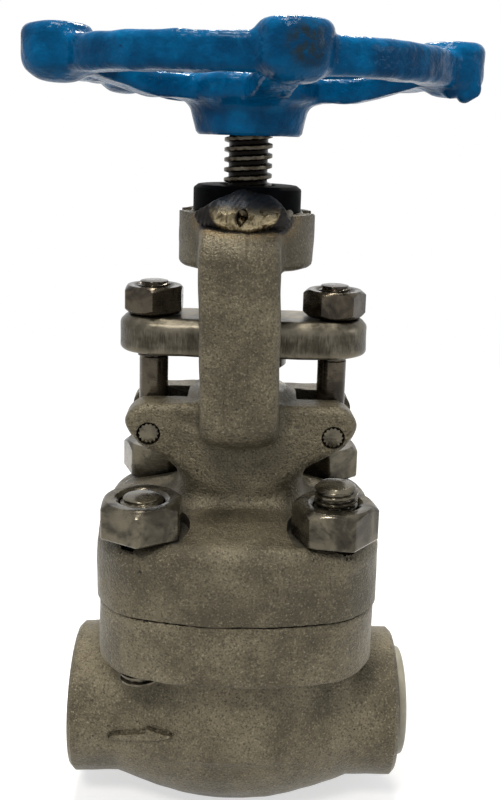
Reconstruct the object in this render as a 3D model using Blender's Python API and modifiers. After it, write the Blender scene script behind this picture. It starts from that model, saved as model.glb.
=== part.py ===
"""Half-inch forged globe valve with socket ends, a bolted bonnet and an outside screw and yoke.

Metres, +Z up the stem, +X along the flow, -Y towards the front. The origin is the centre of the
flat pad under the body, on the stem's axis. The valve stands nearly full open.
"""
import math

import bmesh
import bpy
from mathutils import Matrix, Vector

MM = 0.001

# Fits
GAP = 0.3 * MM
RUNNING_GAP = 0.3 * MM

# Body, along the flow
FACE_TO_FACE = 79.0 * MM
SOCKET_END_RADIUS = 17.7 * MM
SOCKET_END_CHAMFER = 1.0 * MM
BELLY_RADIUS = 23.6 * MM
BELLY_HALF_LENGTH = 28.0 * MM
PAD_RADIUS = 8.5 * MM
SOCKET_BORE_RADIUS = 10.95 * MM
SOCKET_DEPTH = 10.0 * MM
PASSAGE_RADIUS = 5.0 * MM
INLET_DROP = 12.0 * MM
INLET_WELL_DEPTH = 2.0 * MM
OUTLET_RISE = 12.5 * MM

# Body, up the stem
BODY_NECK_RADIUS = 22.0 * MM
PORT_TO_JOINT = 35.3 * MM
BODY_FLANGE_THICKNESS = 13.6 * MM
BODY_FLANGE_HALF_X = 32.5 * MM
BODY_FLANGE_HALF_Y = 31.4 * MM
BODY_FLANGE_UNDER_ROUND = 1.6 * MM
FLANGE_FRONT_BOW_RADIUS = 74.0 * MM
FLANGE_SIDE_BOW_RADIUS = 150.0 * MM
FLANGE_CORNER_RADIUS = 8.0 * MM
CHAMBER_RADIUS = 12.3 * MM
CHAMBER_FLOOR = 1.5 * MM

# Seat ring, pressed into a pocket in the chamber's floor
SEAT_POCKET_DEPTH = 2.6 * MM
SEAT_RING_RADIUS = 9.0 * MM
SEAT_RING_STAND = 3.5 * MM
SEAT_CHAMFER = 1.0 * MM
SEAT_CONE_ANGLE = 45

# Gasket joint
GASKET_RADIUS = 17.0 * MM
GASKET_BORE_RADIUS = 13.2 * MM
GASKET_THICKNESS = 2.6 * MM
TONGUE_HEIGHT = 2.0 * MM

# Bonnet
BONNET_FLANGE_HALF_X = 33.0 * MM
BONNET_FLANGE_HALF_Y = 31.6 * MM
BONNET_FLANGE_THICKNESS = 17.5 * MM
BONNET_FLANGE_TOP_ROUND = 2.6 * MM
SKIRT_RADIUS = 27.0 * MM
SKIRT_RISE = 3.6 * MM
SKIRT_TOP_RADIUS = 18.0 * MM
NECK_HALF_X = 14.7 * MM
NECK_HALF_Y = 12.8 * MM
NECK_CORNER_RADIUS = 6.0 * MM
NECK_INTO_LUGS = 8.0 * MM
FLANGE_TO_LUG_ROOT = 11.3 * MM
FLANGE_TO_PIN = 19.7 * MM
LUG_END_RADIUS = 5.6 * MM
LUG_END_ABOVE_PIN = 1.4 * MM
LUG_HALF_DEPTH = 12.3 * MM
LUG_EDGE_ROUND = 1.6 * MM
LUG_UNDERSIDE_ANGLE = -60
CHIMNEY_RADIUS = 12.5 * MM
CHIMNEY_CHAMFER = 2.8 * MM
FLANGE_TO_CHIMNEY_TOP = 29.6 * MM
STEM_CLEARANCE = 0.4 * MM

# Yoke
YOKE_HALF_WIDTH = 8.2 * MM
YOKE_HALF_SPAN = 21.6 * MM
YOKE_WINDOW_HALF_SPAN = 12.6 * MM
YOKE_WINDOW_HEIGHT = 28.0 * MM
YOKE_WINDOW_ROUND = 4.0 * MM
YOKE_WINDOW_BELOW_CHIMNEY = 0.6 * MM
YOKE_EDGE_ROUND = 2.2 * MM
YOKE_CHIN_RADIUS = 6.5 * MM
YOKE_CHIN_BELOW_CHIMNEY = 10.0 * MM
YOKE_SHOULDER_RADIUS = 8.6 * MM
YOKE_SHOULDER_BELOW_BOSS_TOP = 1.8 * MM
BOSS_RADIUS = 15.8 * MM
BOSS_HEIGHT = 12.1 * MM
BOSS_EDGE_ROUND = 2.0 * MM
BOSS_TOP_CHAMFER = 0.5 * MM

# Bonnet bolting
STUD_SPACING = 42.8 * MM
STUD_RADIUS = 4.85 * MM
STUD_HOLE_CLEARANCE = 0.6 * MM
STUD_BELOW_BODY_FLANGE = 2.0 * MM
STUD_TIP_CHAMFER = 0.9 * MM
SPOT_FACE_RADIUS = 10.6 * MM
SPOT_FACE_REACH = 14.0 * MM
BONNET_NUT_ACROSS_FLATS = 17.1 * MM
BONNET_NUT_HEIGHT = 8.0 * MM
STUDS = (
    ("front_left", -1, -1, 0.4 * MM, 0.0),
    ("front_right", 1, -1, 4.2 * MM, 15.0),
    ("rear_left", -1, 1, 1.2 * MM, 20.0),
    ("rear_right", 1, 1, 1.2 * MM, 8.0),
)

# Stem, disc and backseat
STEM_RADIUS = 5.5 * MM
OPEN_LIFT = 8.0 * MM
FINAL_LIFT = 1.0 * MM
DISC_RADIUS = 10.5 * MM
DISC_FACE_BELOW_SEAT_TOP = 0.7 * MM
SEAT_CONE_GAP = GAP / math.cos(math.radians(SEAT_CONE_ANGLE))
DISC_FACE_RADIUS = PASSAGE_RADIUS + SEAT_CHAMFER - DISC_FACE_BELOW_SEAT_TOP - SEAT_CONE_GAP
DISC_HEIGHT = 16.0 * MM
DISC_CUP_RADIUS = 8.0 * MM
DISC_CUP_DEPTH = 9.0 * MM
STEM_BUTTON_RADIUS = 7.0 * MM
STEM_BUTTON_HEIGHT = 3.0 * MM
DISC_NUT_ACROSS_FLATS = 17.0 * MM
DISC_NUT_HEX_HEIGHT = 4.0 * MM
BACKSEAT_CONE_HEIGHT = 1.8 * MM
BACKSEAT_BUSH_RADIUS = 10.0 * MM
BACKSEAT_BUSH_HEIGHT = 11.0 * MM

# Packing and gland
PACKING_BOX_RADIUS = 8.6 * MM
PACKING_RING_HEIGHT = 3.6 * MM
PACKING_RING_COUNT = 5
GLAND_SHOULDER_RADIUS = 10.2 * MM
GLAND_SHOULDER_HEIGHT = 2.6 * MM
GLAND_ABOVE_CHIMNEY = 4.5 * MM
GLAND_ENTRY = 10.0 * MM
GLAND_FLANGE_THICKNESS = 8.6 * MM
GLAND_FLANGE_HALF_WIDTH = 9.8 * MM
GLAND_FLANGE_END_RADIUS = 8.1 * MM
GLAND_FLANGE_EDGE_ROUND = 1.4 * MM
EYEBOLT_SPACING = 42.14 * MM
EYEBOLT_SHANK_RADIUS = 3.4 * MM
EYEBOLT_THREAD_RADIUS = 3.8 * MM
EYEBOLT_THREAD_BELOW_FLANGE = 1.6 * MM
EYEBOLT_TIP_STAND = 1.1 * MM
EYE_RADIUS = 5.4 * MM
EYE_THICKNESS = 8.4 * MM
EYE_PIN_RADIUS = 2.5 * MM
GLAND_NUT_ACROSS_FLATS = 13.0 * MM
GLAND_NUT_HEIGHT = 6.3 * MM
GLAND_NUT_TURNS = {"left": 0.0, "right": 30.0}

# Yoke nut and its tack weld
YOKE_NUT_RADIUS = 12.35 * MM
YOKE_NUT_HEAD_HEIGHT = 5.9 * MM
YOKE_NUT_SLEEVE_RADIUS = 9.0 * MM
YOKE_NUT_CHAMFER = 0.9 * MM
WELD_HALF_WIDTH = 10.3 * MM
WELD_HALF_HEIGHT = 5.0 * MM
WELD_HALF_DEPTH = 4.4 * MM
WELD_SHIFT_X = -0.4 * MM
WELD_ABOVE_BOSS = 0.6 * MM

# Handwheel
HUB_ABOVE_YOKE_NUT = 11.0 * MM
HUB_RADIUS = 12.7 * MM
HUB_CHAMFER = 0.8 * MM
HUB_STRAIGHT_HEIGHT = 5.2 * MM
HUB_FLARE_RADIUS = 16.5 * MM
HUB_FLARE_HEIGHT = 2.4 * MM
HUB_FLARE_EDGE = 1.0 * MM
SPOKE_THICKNESS = 4.8 * MM
SPOKE_WIDTH = 8.0 * MM
SPOKE_BEND_RADIUS = 25.0 * MM
SPOKE_EDGE_ROUND = 1.0 * MM
RIM_RADIUS = 41.5 * MM
RIM_HALF_WIDTH = 4.2 * MM
RIM_HEIGHT = 7.2 * MM
RIM_EDGE_ROUND = 2.0 * MM
RIM_ABOVE_SPOKE = 3.9 * MM
LOBE_COUNT = 5
LOBE_RADIUS = 44.6 * MM
LOBE_HALF_WIDTH = 7.1 * MM
LOBE_HALF_HEIGHT = 5.8 * MM
LOBE_FULLNESS = 0.75
LOBE_ABOVE_RIM_MIDDLE = 0.4 * MM
FIRST_LOBE_ANGLE = 10.3
DRIVE_SQUARE = 8.6 * MM
DRIVE_SQUARE_GAP = 0.3 * MM
WHEEL_STUD_RADIUS = 4.0 * MM
WHEEL_STUD_STAND = 0.9 * MM
WHEEL_WASHER_RADIUS = 8.0 * MM
WHEEL_WASHER_THICKNESS = 1.2 * MM
WHEEL_NUT_ACROSS_FLATS = 13.0 * MM
WHEEL_NUT_HEIGHT = 5.2 * MM

# Plastic plug in the outlet socket
CAP_FLANGE_RADIUS = 13.0 * MM
CAP_FLANGE_THICKNESS = 2.2 * MM
CAP_PLUG_DEPTH = 7.0 * MM
CAP_WALL = 1.2 * MM

# Nut shape and small chamfers
NUT_SIDES = 6
NUT_FACE_SHARE = 0.96
NUT_CROWN_SHARE = 1.05
NUT_CROWN_SLOPE = 30
NUT_COUNTERSINK = 0.6 * MM
SMALL_CHAMFER = 0.6 * MM

# Fineness of round shapes, in sides
CROWN_STEPS = 18
ROUND_STEPS = 26
SMALL_STEPS = 14
PACKING_STEPS = 18
RIM_STEPS = 40
WELD_STEPS = 20
LOBE_STEPS = 12
LOBE_RINGS = 8
CORNER_STEPS = 4
BELLY_STATIONS = 7
SHARP_ANGLE = 35
HALF_TURN = 180
FRONT = -90

# How far cutters run past a face, and how deep joined shapes are set into one another
PAST = 5.0 * MM
CROWN_PAST = 0.5 * MM
SET_IN = 2.0 * MM

# Distances and the angle below which points and faces count as the same
MERGE_DISTANCE = 0.005 * MM
OUTLINE_MERGE_DISTANCE = 0.002 * MM
TURN_MERGE_DISTANCE = 0.01 * MM
FLAT_ANGLE = 0.002

# Heights worked out from the sizes above, from the pad up
PORT_Z = math.sqrt(BELLY_RADIUS ** 2 - PAD_RADIUS ** 2)
BODY_TOP_Z = PORT_Z + PORT_TO_JOINT - GAP / 2
BODY_FLANGE_UNDER_Z = BODY_TOP_Z - BODY_FLANGE_THICKNESS
BONNET_BOTTOM_Z = BODY_TOP_Z + GAP
BONNET_FLANGE_TOP_Z = BONNET_BOTTOM_Z + BONNET_FLANGE_THICKNESS
CHIMNEY_TOP_Z = BONNET_FLANGE_TOP_Z + FLANGE_TO_CHIMNEY_TOP
PIN_Z = BONNET_FLANGE_TOP_Z + FLANGE_TO_PIN
LUG_END_Z = PIN_Z + LUG_END_ABOVE_PIN
BOSS_BOTTOM_Z = CHIMNEY_TOP_Z + YOKE_WINDOW_HEIGHT
BOSS_TOP_Z = BOSS_BOTTOM_Z + BOSS_HEIGHT
YOKE_NUT_TOP_Z = BOSS_TOP_Z + GAP + YOKE_NUT_HEAD_HEIGHT
HUB_BOTTOM_Z = YOKE_NUT_TOP_Z + HUB_ABOVE_YOKE_NUT
SPOKE_BOTTOM_Z = HUB_BOTTOM_Z + HUB_STRAIGHT_HEIGHT + HUB_FLARE_HEIGHT
HUB_TOP_Z = SPOKE_BOTTOM_Z + SPOKE_THICKNESS
RIM_BOTTOM_Z = SPOKE_BOTTOM_Z + RIM_ABOVE_SPOKE
RIM_MIDDLE_Z = RIM_BOTTOM_Z + RIM_HEIGHT / 2
WHEEL_NUT_BOTTOM_Z = HUB_TOP_Z + GAP + WHEEL_WASHER_THICKNESS + GAP

# The seat, the disc at its open lift and the backseat
CHAMBER_FLOOR_Z = PORT_Z + CHAMBER_FLOOR
SEAT_POCKET_Z = CHAMBER_FLOOR_Z - SEAT_POCKET_DEPTH
SEAT_TOP_Z = CHAMBER_FLOOR_Z + SEAT_RING_STAND
DISC_BOTTOM_Z = SEAT_TOP_Z - DISC_FACE_BELOW_SEAT_TOP + OPEN_LIFT
DISC_TOP_Z = DISC_BOTTOM_Z + DISC_HEIGHT
DISC_CUP_FLOOR_Z = DISC_TOP_Z - DISC_CUP_DEPTH
STEM_BOTTOM_Z = DISC_CUP_FLOOR_Z + GAP
STEM_BUTTON_TOP_Z = STEM_BOTTOM_Z + STEM_BUTTON_HEIGHT
DISC_NUT_HEX_BOTTOM_Z = DISC_TOP_Z + GAP
DISC_NUT_HEX_TOP_Z = DISC_NUT_HEX_BOTTOM_Z + DISC_NUT_HEX_HEIGHT
BACKSEAT_Z = DISC_NUT_HEX_TOP_Z + FINAL_LIFT + GAP

# The gasket joint and the packing box
TONGUE_BOTTOM_Z = BODY_TOP_Z - TONGUE_HEIGHT
GASKET_TOP_Z = TONGUE_BOTTOM_Z - GAP
GASKET_BOTTOM_Z = GASKET_TOP_Z - GASKET_THICKNESS
BUSH_TOP_Z = BACKSEAT_Z + BACKSEAT_BUSH_HEIGHT
BUSH_POCKET_TOP_Z = BUSH_TOP_Z + GAP
PACKING_PITCH = PACKING_RING_HEIGHT + GAP
GLAND_SHOULDER_Z = CHIMNEY_TOP_Z + GLAND_ABOVE_CHIMNEY
GLAND_TOP_Z = GLAND_SHOULDER_Z + GLAND_SHOULDER_HEIGHT
GLAND_FLANGE_BOTTOM_Z = GLAND_TOP_Z + GAP
GLAND_FLANGE_TOP_Z = GLAND_FLANGE_BOTTOM_Z + GLAND_FLANGE_THICKNESS
GLAND_NUT_BOTTOM_Z = GLAND_FLANGE_TOP_Z + GAP
EYEBOLT_TOP_Z = GLAND_NUT_BOTTOM_Z + GLAND_NUT_HEIGHT + EYEBOLT_TIP_STAND
GLAND_BOTTOM_Z = CHIMNEY_TOP_Z - GLAND_ENTRY
PACKING_BOX_BOTTOM_Z = GLAND_BOTTOM_Z - PACKING_RING_COUNT * PACKING_PITCH - GAP

HALF_LENGTH = FACE_TO_FACE / 2


def clear_scene():
    for item in list(bpy.data.objects):
        bpy.data.objects.remove(item, do_unlink=True)


def make_collection(name):
    collection = bpy.data.collections.new(name)
    bpy.context.scene.collection.children.link(collection)
    return collection


clear_scene()
PARTS = make_collection("globe_valve")
CUTTERS = make_collection("cutters")


def material(name, colour, roughness, metallic):
    shade = bpy.data.materials.new(name)
    shade.use_nodes = True
    shader = shade.node_tree.nodes["Principled BSDF"]
    shader.inputs["Base Color"].default_value = (*colour, 1.0)
    shader.inputs["Roughness"].default_value = roughness
    shader.inputs["Metallic"].default_value = metallic
    return shade


FORGED_STEEL = material("forged_steel", (0.36, 0.34, 0.30), 0.5, 1.0)
BRIGHT_STEEL = material("bright_steel", (0.55, 0.53, 0.48), 0.28, 1.0)
DARK_STEEL = material("dark_steel", (0.25, 0.24, 0.22), 0.35, 1.0)
STEM_STEEL = material("stem_steel", (0.33, 0.29, 0.23), 0.35, 1.0)
BLACK_STEEL = material("black_steel", (0.02, 0.02, 0.022), 0.5, 0.4)
WELD_METAL = material("weld_metal", (0.45, 0.38, 0.22), 0.3, 1.0)
BLUE_PAINT = material("blue_paint", (0.005, 0.13, 0.36), 0.25, 0.0)
WHITE_PLASTIC = material("white_plastic", (0.72, 0.71, 0.66), 0.45, 0.0)
GRAPHITE = material("graphite", (0.04, 0.04, 0.045), 0.6, 0.1)


# Building blocks


def add_object(name, mesh, collection):
    made = bpy.data.objects.new(name, mesh)
    collection.objects.link(made)
    if collection is CUTTERS:
        made.hide_render = True
        made.display_type = "WIRE"
    return made


def finish(made, shade):
    """Merge what the cuts leave doubled, and give a piece its material and smooth round faces."""
    weld = made.modifiers.new("weld", "WELD")
    weld.merge_threshold = MERGE_DISTANCE
    made.data.materials.clear()
    made.data.materials.append(shade)
    made.data.shade_smooth()
    made.data.set_sharp_from_angle(angle=math.radians(SHARP_ANGLE))
    return made


def turned(name, profile, collection=CUTTERS, steps=ROUND_STEPS, closed=False):
    """Turn a profile of (radius, height) points about Z. It runs down its outer side."""
    mesh = bpy.data.meshes.new(name)
    points = [(radius, 0.0, height) for radius, height in profile]
    edges = [(i, i + 1) for i in range(len(points) - 1)]
    if closed:
        edges.append((len(points) - 1, 0))
    mesh.from_pydata(points, edges, [])
    made = add_object(name, mesh, collection)
    screw = made.modifiers.new("turn", "SCREW")
    screw.axis = "Z"
    screw.angle = 2 * math.pi
    screw.steps = steps
    screw.render_steps = steps
    screw.use_merge_vertices = True
    screw.merge_threshold = TURN_MERGE_DISTANCE
    screw.use_smooth_shade = True
    return made


def rod(name, radius, bottom, top, collection=CUTTERS, steps=ROUND_STEPS, chamfer=0.0):
    """A round bar along Z with chamfered ends."""
    if chamfer:
        profile = [
            (0.0, top), (radius - chamfer, top), (radius, top - chamfer),
            (radius, bottom + chamfer), (radius - chamfer, bottom), (0.0, bottom),
        ]
    else:
        profile = [(0.0, top), (radius, top), (radius, bottom), (0.0, bottom)]
    return turned(name, profile, collection, steps)


def ring(name, outer, inner, bottom, top, collection=CUTTERS, steps=ROUND_STEPS):
    """A plain ring about Z."""
    profile = [(outer, top), (outer, bottom), (inner, bottom), (inner, top)]
    return turned(name, profile, collection, steps, closed=True)


def outline_solid(name, outlines, depth, rounding=0.0, collection=CUTTERS, fine=0):
    """Extrude flat outlines to both sides of their plane. A second outline is a hole."""
    curve = bpy.data.curves.new(name, "CURVE")
    curve.dimensions = "2D"
    curve.fill_mode = "BOTH"
    curve.extrude = depth / 2 - rounding
    curve.bevel_depth = rounding
    curve.bevel_resolution = fine
    curve.offset = -rounding
    for outline in outlines:
        spline = curve.splines.new("POLY")
        spline.points.add(len(outline) - 1)
        for point, (x, y) in zip(spline.points, outline):
            point.co = (x, y, 0.0, 1.0)
        spline.use_cyclic_u = True
    source = bpy.data.objects.new(name + "_outline", curve)
    bpy.context.scene.collection.objects.link(source)
    graph = bpy.context.evaluated_depsgraph_get()
    mesh = bpy.data.meshes.new_from_object(source.evaluated_get(graph))
    bpy.data.objects.remove(source, do_unlink=True)
    shell = bmesh.new()
    shell.from_mesh(mesh)
    bmesh.ops.remove_doubles(shell, verts=shell.verts, dist=OUTLINE_MERGE_DISTANCE)
    bmesh.ops.recalc_face_normals(shell, faces=shell.faces)
    bmesh.ops.dissolve_limit(shell, angle_limit=FLAT_ANGLE, verts=shell.verts, edges=shell.edges)
    shell.to_mesh(mesh)
    shell.free()
    mesh.name = name
    return add_object(name, mesh, collection)


def move_mesh(made, matrix):
    made.data.transform(matrix)
    return made


def block(name, low, high, collection=CUTTERS):
    """A box between two corners."""
    shell = bmesh.new()
    bmesh.ops.create_cube(shell, size=1.0)
    size = Vector(high) - Vector(low)
    middle = (Vector(high) + Vector(low)) / 2
    bmesh.ops.scale(shell, vec=size, verts=shell.verts)
    bmesh.ops.translate(shell, vec=middle, verts=shell.verts)
    mesh = bpy.data.meshes.new(name)
    shell.to_mesh(mesh)
    shell.free()
    return add_object(name, mesh, collection)


def boolean(target, tool, operation):
    step = target.modifiers.new(tool.name, "BOOLEAN")
    step.object = tool
    step.operation = operation
    step.solver = "EXACT"


def join(target, *tools):
    for tool in tools:
        boolean(target, tool, "UNION")


def cut(target, *tools):
    for tool in tools:
        boolean(target, tool, "DIFFERENCE")


def keep_inside(target, tool):
    boolean(target, tool, "INTERSECT")


def arc(centre_x, centre_y, radius, start, end, steps=CORNER_STEPS):
    """Points on an arc, with its angles in degrees."""
    points = []
    for i in range(steps + 1):
        angle = math.radians(start + (end - start) * i / steps)
        points.append((centre_x + radius * math.cos(angle), centre_y + radius * math.sin(angle)))
    return points


def rounded_rectangle(half_x, half_y, radius, low_y=None):
    bottom = -half_y if low_y is None else low_y
    points = arc(half_x - radius, half_y - radius, radius, 0, 90)
    points += arc(-half_x + radius, half_y - radius, radius, 90, 180)
    points += arc(-half_x + radius, bottom + radius, radius, 180, 270)
    points += arc(half_x - radius, bottom + radius, radius, 270, 360)
    return points


def bowed_square(half_x, half_y, bow_x, bow_y, corner):
    """A square flange whose four sides bow out a little, with round corners tangent to them."""
    side_centre = half_x - bow_x
    front_centre = half_y - bow_y
    reach_side = bow_x - corner
    reach_front = bow_y - corner
    apart = math.hypot(side_centre, front_centre)
    along = (reach_side ** 2 - reach_front ** 2 + apart ** 2) / (2 * apart)
    across = math.sqrt(reach_side ** 2 - along ** 2)
    unit_x = -side_centre / apart
    unit_y = front_centre / apart
    corner_x = side_centre + along * unit_x - across * unit_y
    corner_y = along * unit_y + across * unit_x
    side_angle = math.degrees(math.atan2(corner_y, corner_x - side_centre))
    front_angle = math.degrees(math.atan2(corner_y - front_centre, corner_x))
    quarter = arc(side_centre, 0.0, bow_x, 0, side_angle)[:-1]
    quarter += arc(corner_x, corner_y, corner, side_angle, front_angle)
    quarter += arc(0.0, front_centre, bow_y, front_angle, 90)[1:]
    points = list(quarter)
    points += [(-x, y) for x, y in reversed(quarter[:-1])]
    points += [(-x, -y) for x, y in quarter[1:]]
    points += [(x, -y) for x, y in reversed(quarter[1:-1])]
    return points


def round_rim(made, height, width, segments=2):
    """Round the rim of a plate where its side meets the face at this height."""
    shell = bmesh.new()
    shell.from_mesh(made.data)
    rim = []
    for edge in shell.edges:
        level = all(abs(vert.co.z - height) < TURN_MERGE_DISTANCE for vert in edge.verts)
        if level and edge.calc_face_angle(0.0) > math.radians(SHARP_ANGLE):
            rim.append(edge)
    bmesh.ops.bevel(
        shell, geom=rim, offset=width, segments=segments, profile=0.5, affect="EDGES",
        clamp_overlap=True,
    )
    bmesh.ops.remove_doubles(shell, verts=shell.verts, dist=OUTLINE_MERGE_DISTANCE)
    shell.to_mesh(made.data)
    shell.free()


def hexagon(across_flats, turn):
    """The six corners of a hexagon. At no turn one corner points to the front."""
    corner = across_flats / 2 / math.cos(math.pi / NUT_SIDES)
    points = []
    for i in range(NUT_SIDES):
        angle = math.radians(turn + FRONT) + 2 * math.pi * i / NUT_SIDES
        points.append((corner * math.cos(angle), corner * math.sin(angle)))
    return points


def hex_nut(name, across_flats, bottom, height, bore, turn, both_ends=False):
    """A hexagon nut about Z, chamfered at the top or at both ends, with a round bore."""
    nut = outline_solid(name, [hexagon(across_flats, turn)], height, collection=PARTS)
    move_mesh(nut, Matrix.Translation((0.0, 0.0, bottom + height / 2)))
    top = bottom + height
    face = across_flats / 2 * NUT_FACE_SHARE
    widest = across_flats / math.sqrt(3) * NUT_CROWN_SHARE
    slope = math.tan(math.radians(NUT_CROWN_SLOPE))
    past = CROWN_PAST
    drop = (widest - face) * slope
    profile = [(0.0, top + past), (face - past / slope, top + past), (widest, top - drop)]
    if both_ends:
        profile += [(widest, bottom + drop), (face - past / slope, bottom - past)]
    else:
        profile.append((widest, bottom - past))
    crown = turned(name + "_crown", profile + [(0.0, bottom - past)], steps=CROWN_STEPS)
    sink = NUT_COUNTERSINK
    bore_cutter = turned(name + "_bore", [
        (0.0, top + past), (bore + sink + past, top + past), (bore, top - sink),
        (bore, bottom - past), (0.0, bottom - past),
    ], steps=SMALL_STEPS)
    keep_inside(nut, crown)
    cut(nut, bore_cutter)
    return nut, [crown, bore_cutter]


def place(pieces, x, y):
    for piece in pieces:
        piece.location = (x, y, 0.0)


def lie_along_x(made):
    """Turn a piece modelled about Z so that its axis lies along the flow, at the port's height."""
    made.rotation_euler = (0.0, math.pi / 2, 0.0)
    made.location = (0.0, 0.0, PORT_Z)
    return made


# Body


def run_radius(x):
    """The outside radius of the body's run at this distance from the stem's axis."""
    if abs(x) >= BELLY_HALF_LENGTH:
        return SOCKET_END_RADIUS
    swell = math.cos(math.pi * x / (2 * BELLY_HALF_LENGTH))
    return SOCKET_END_RADIUS + (BELLY_RADIUS - SOCKET_END_RADIUS) * swell


def body_run():
    """The horizontal run, swollen to a belly in the middle, with a pipe socket in each end."""
    end_radius = SOCKET_END_RADIUS - SOCKET_END_CHAMFER
    floor = HALF_LENGTH - SOCKET_DEPTH
    bore = SOCKET_BORE_RADIUS
    profile = [(0.0, floor), (bore, floor), (bore, HALF_LENGTH), (end_radius, HALF_LENGTH)]
    profile.append((SOCKET_END_RADIUS, HALF_LENGTH - SOCKET_END_CHAMFER))
    for i in range(-BELLY_STATIONS, BELLY_STATIONS + 1):
        x = -BELLY_HALF_LENGTH * i / BELLY_STATIONS
        profile.append((run_radius(x), x))
    profile.append((SOCKET_END_RADIUS, -HALF_LENGTH + SOCKET_END_CHAMFER))
    profile += [(end_radius, -HALF_LENGTH), (bore, -HALF_LENGTH), (bore, -floor), (0.0, -floor)]
    return lie_along_x(turned("body_run", profile))


def slanted_passage(name, side, rise):
    """A drilled passage from a socket's floor to the middle of the valve."""
    start = Vector((side * (HALF_LENGTH - SOCKET_DEPTH + SET_IN), 0.0, PORT_Z))
    end = Vector((0.0, 0.0, PORT_Z + rise))
    drill = rod(name, PASSAGE_RADIUS, 0.0, (end - start).length, steps=SMALL_STEPS)
    drill.rotation_euler = (end - start).to_track_quat("Z", "Y").to_euler()
    drill.location = start
    return drill


def stud_holes(name, profile):
    """Four turned holes on the square of the bonnet studs."""
    holes = []
    for place_name, side_x, side_y, _, _ in STUDS:
        hole = turned(name + "_" + place_name, profile, steps=SMALL_STEPS)
        place([hole], side_x * STUD_SPACING / 2, side_y * STUD_SPACING / 2)
        holes.append(hole)
    return holes


def chamber_cutter():
    """The turned hollow in the body: recess for the bonnet's tongue, chamber, pocket and port."""
    above = BODY_TOP_Z + PAST
    well = PORT_Z - INLET_DROP - INLET_WELL_DEPTH
    return turned("body_chamber", [
        (0.0, above), (GASKET_RADIUS + GAP, above), (GASKET_RADIUS + GAP, GASKET_BOTTOM_Z - GAP),
        (CHAMBER_RADIUS, GASKET_BOTTOM_Z - GAP), (CHAMBER_RADIUS, CHAMBER_FLOOR_Z),
        (SEAT_RING_RADIUS + GAP, CHAMBER_FLOOR_Z), (SEAT_RING_RADIUS + GAP, SEAT_POCKET_Z),
        (PASSAGE_RADIUS, SEAT_POCKET_Z), (PASSAGE_RADIUS, well), (0.0, well),
    ])


def make_body():
    outline = bowed_square(
        BODY_FLANGE_HALF_X, BODY_FLANGE_HALF_Y, FLANGE_SIDE_BOW_RADIUS, FLANGE_FRONT_BOW_RADIUS,
        FLANGE_CORNER_RADIUS,
    )
    body = outline_solid("body", [outline], BODY_FLANGE_THICKNESS, collection=PARTS)
    move_mesh(body, Matrix.Translation((0.0, 0.0, BODY_TOP_Z - BODY_FLANGE_THICKNESS / 2)))
    round_rim(body, BODY_FLANGE_UNDER_Z, BODY_FLANGE_UNDER_ROUND)
    neck = rod("body_neck", BODY_NECK_RADIUS, PORT_Z, BODY_FLANGE_UNDER_Z + SET_IN)
    neck.rotation_euler.z = math.pi / ROUND_STEPS
    join(body, body_run(), neck)
    below = block(
        "pad_plane",
        (-FACE_TO_FACE, -BELLY_RADIUS * 2, -BELLY_RADIUS),
        (FACE_TO_FACE, BELLY_RADIUS * 2, 0.0),
    )
    cut(body, below)
    cut(body, slanted_passage("inlet_passage", -1, -INLET_DROP))
    cut(body, slanted_passage("outlet_passage", 1, OUTLET_RISE))
    cut(body, chamber_cutter())
    above = BODY_TOP_Z + PAST
    below_flange = BODY_FLANGE_UNDER_Z - STUD_BELOW_BODY_FLANGE * 2
    tapped = STUD_RADIUS + GAP
    cut(body, *stud_holes("tapped_hole", [
        (0.0, above), (tapped, above), (tapped, below_flange), (0.0, below_flange),
    ]))
    return finish(body, FORGED_STEEL)


def make_seat_ring():
    bore = PASSAGE_RADIUS
    ring_bottom = SEAT_POCKET_Z + GAP
    return finish(turned("seat_ring", [
        (bore + SEAT_CHAMFER, SEAT_TOP_Z), (SEAT_RING_RADIUS, SEAT_TOP_Z),
        (SEAT_RING_RADIUS, ring_bottom), (bore, ring_bottom), (bore, SEAT_TOP_Z - SEAT_CHAMFER),
    ], PARTS, closed=True), BRIGHT_STEEL)


def make_gasket():
    return finish(ring(
        "bonnet_gasket", GASKET_RADIUS, GASKET_BORE_RADIUS, GASKET_BOTTOM_Z, GASKET_TOP_Z, PARTS,
    ), GRAPHITE)


# Disc, its nut and the stem


def make_disc():
    """A plug disc with a coned face, hollow at the top for the stem's button."""
    cone_height = DISC_RADIUS - DISC_FACE_RADIUS
    return finish(turned("disc", [
        (0.0, DISC_CUP_FLOOR_Z), (DISC_CUP_RADIUS, DISC_CUP_FLOOR_Z), (DISC_CUP_RADIUS, DISC_TOP_Z),
        (DISC_RADIUS, DISC_TOP_Z), (DISC_RADIUS, DISC_BOTTOM_Z + cone_height),
        (DISC_FACE_RADIUS, DISC_BOTTOM_Z), (0.0, DISC_BOTTOM_Z),
    ], PARTS), BRIGHT_STEEL)


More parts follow.
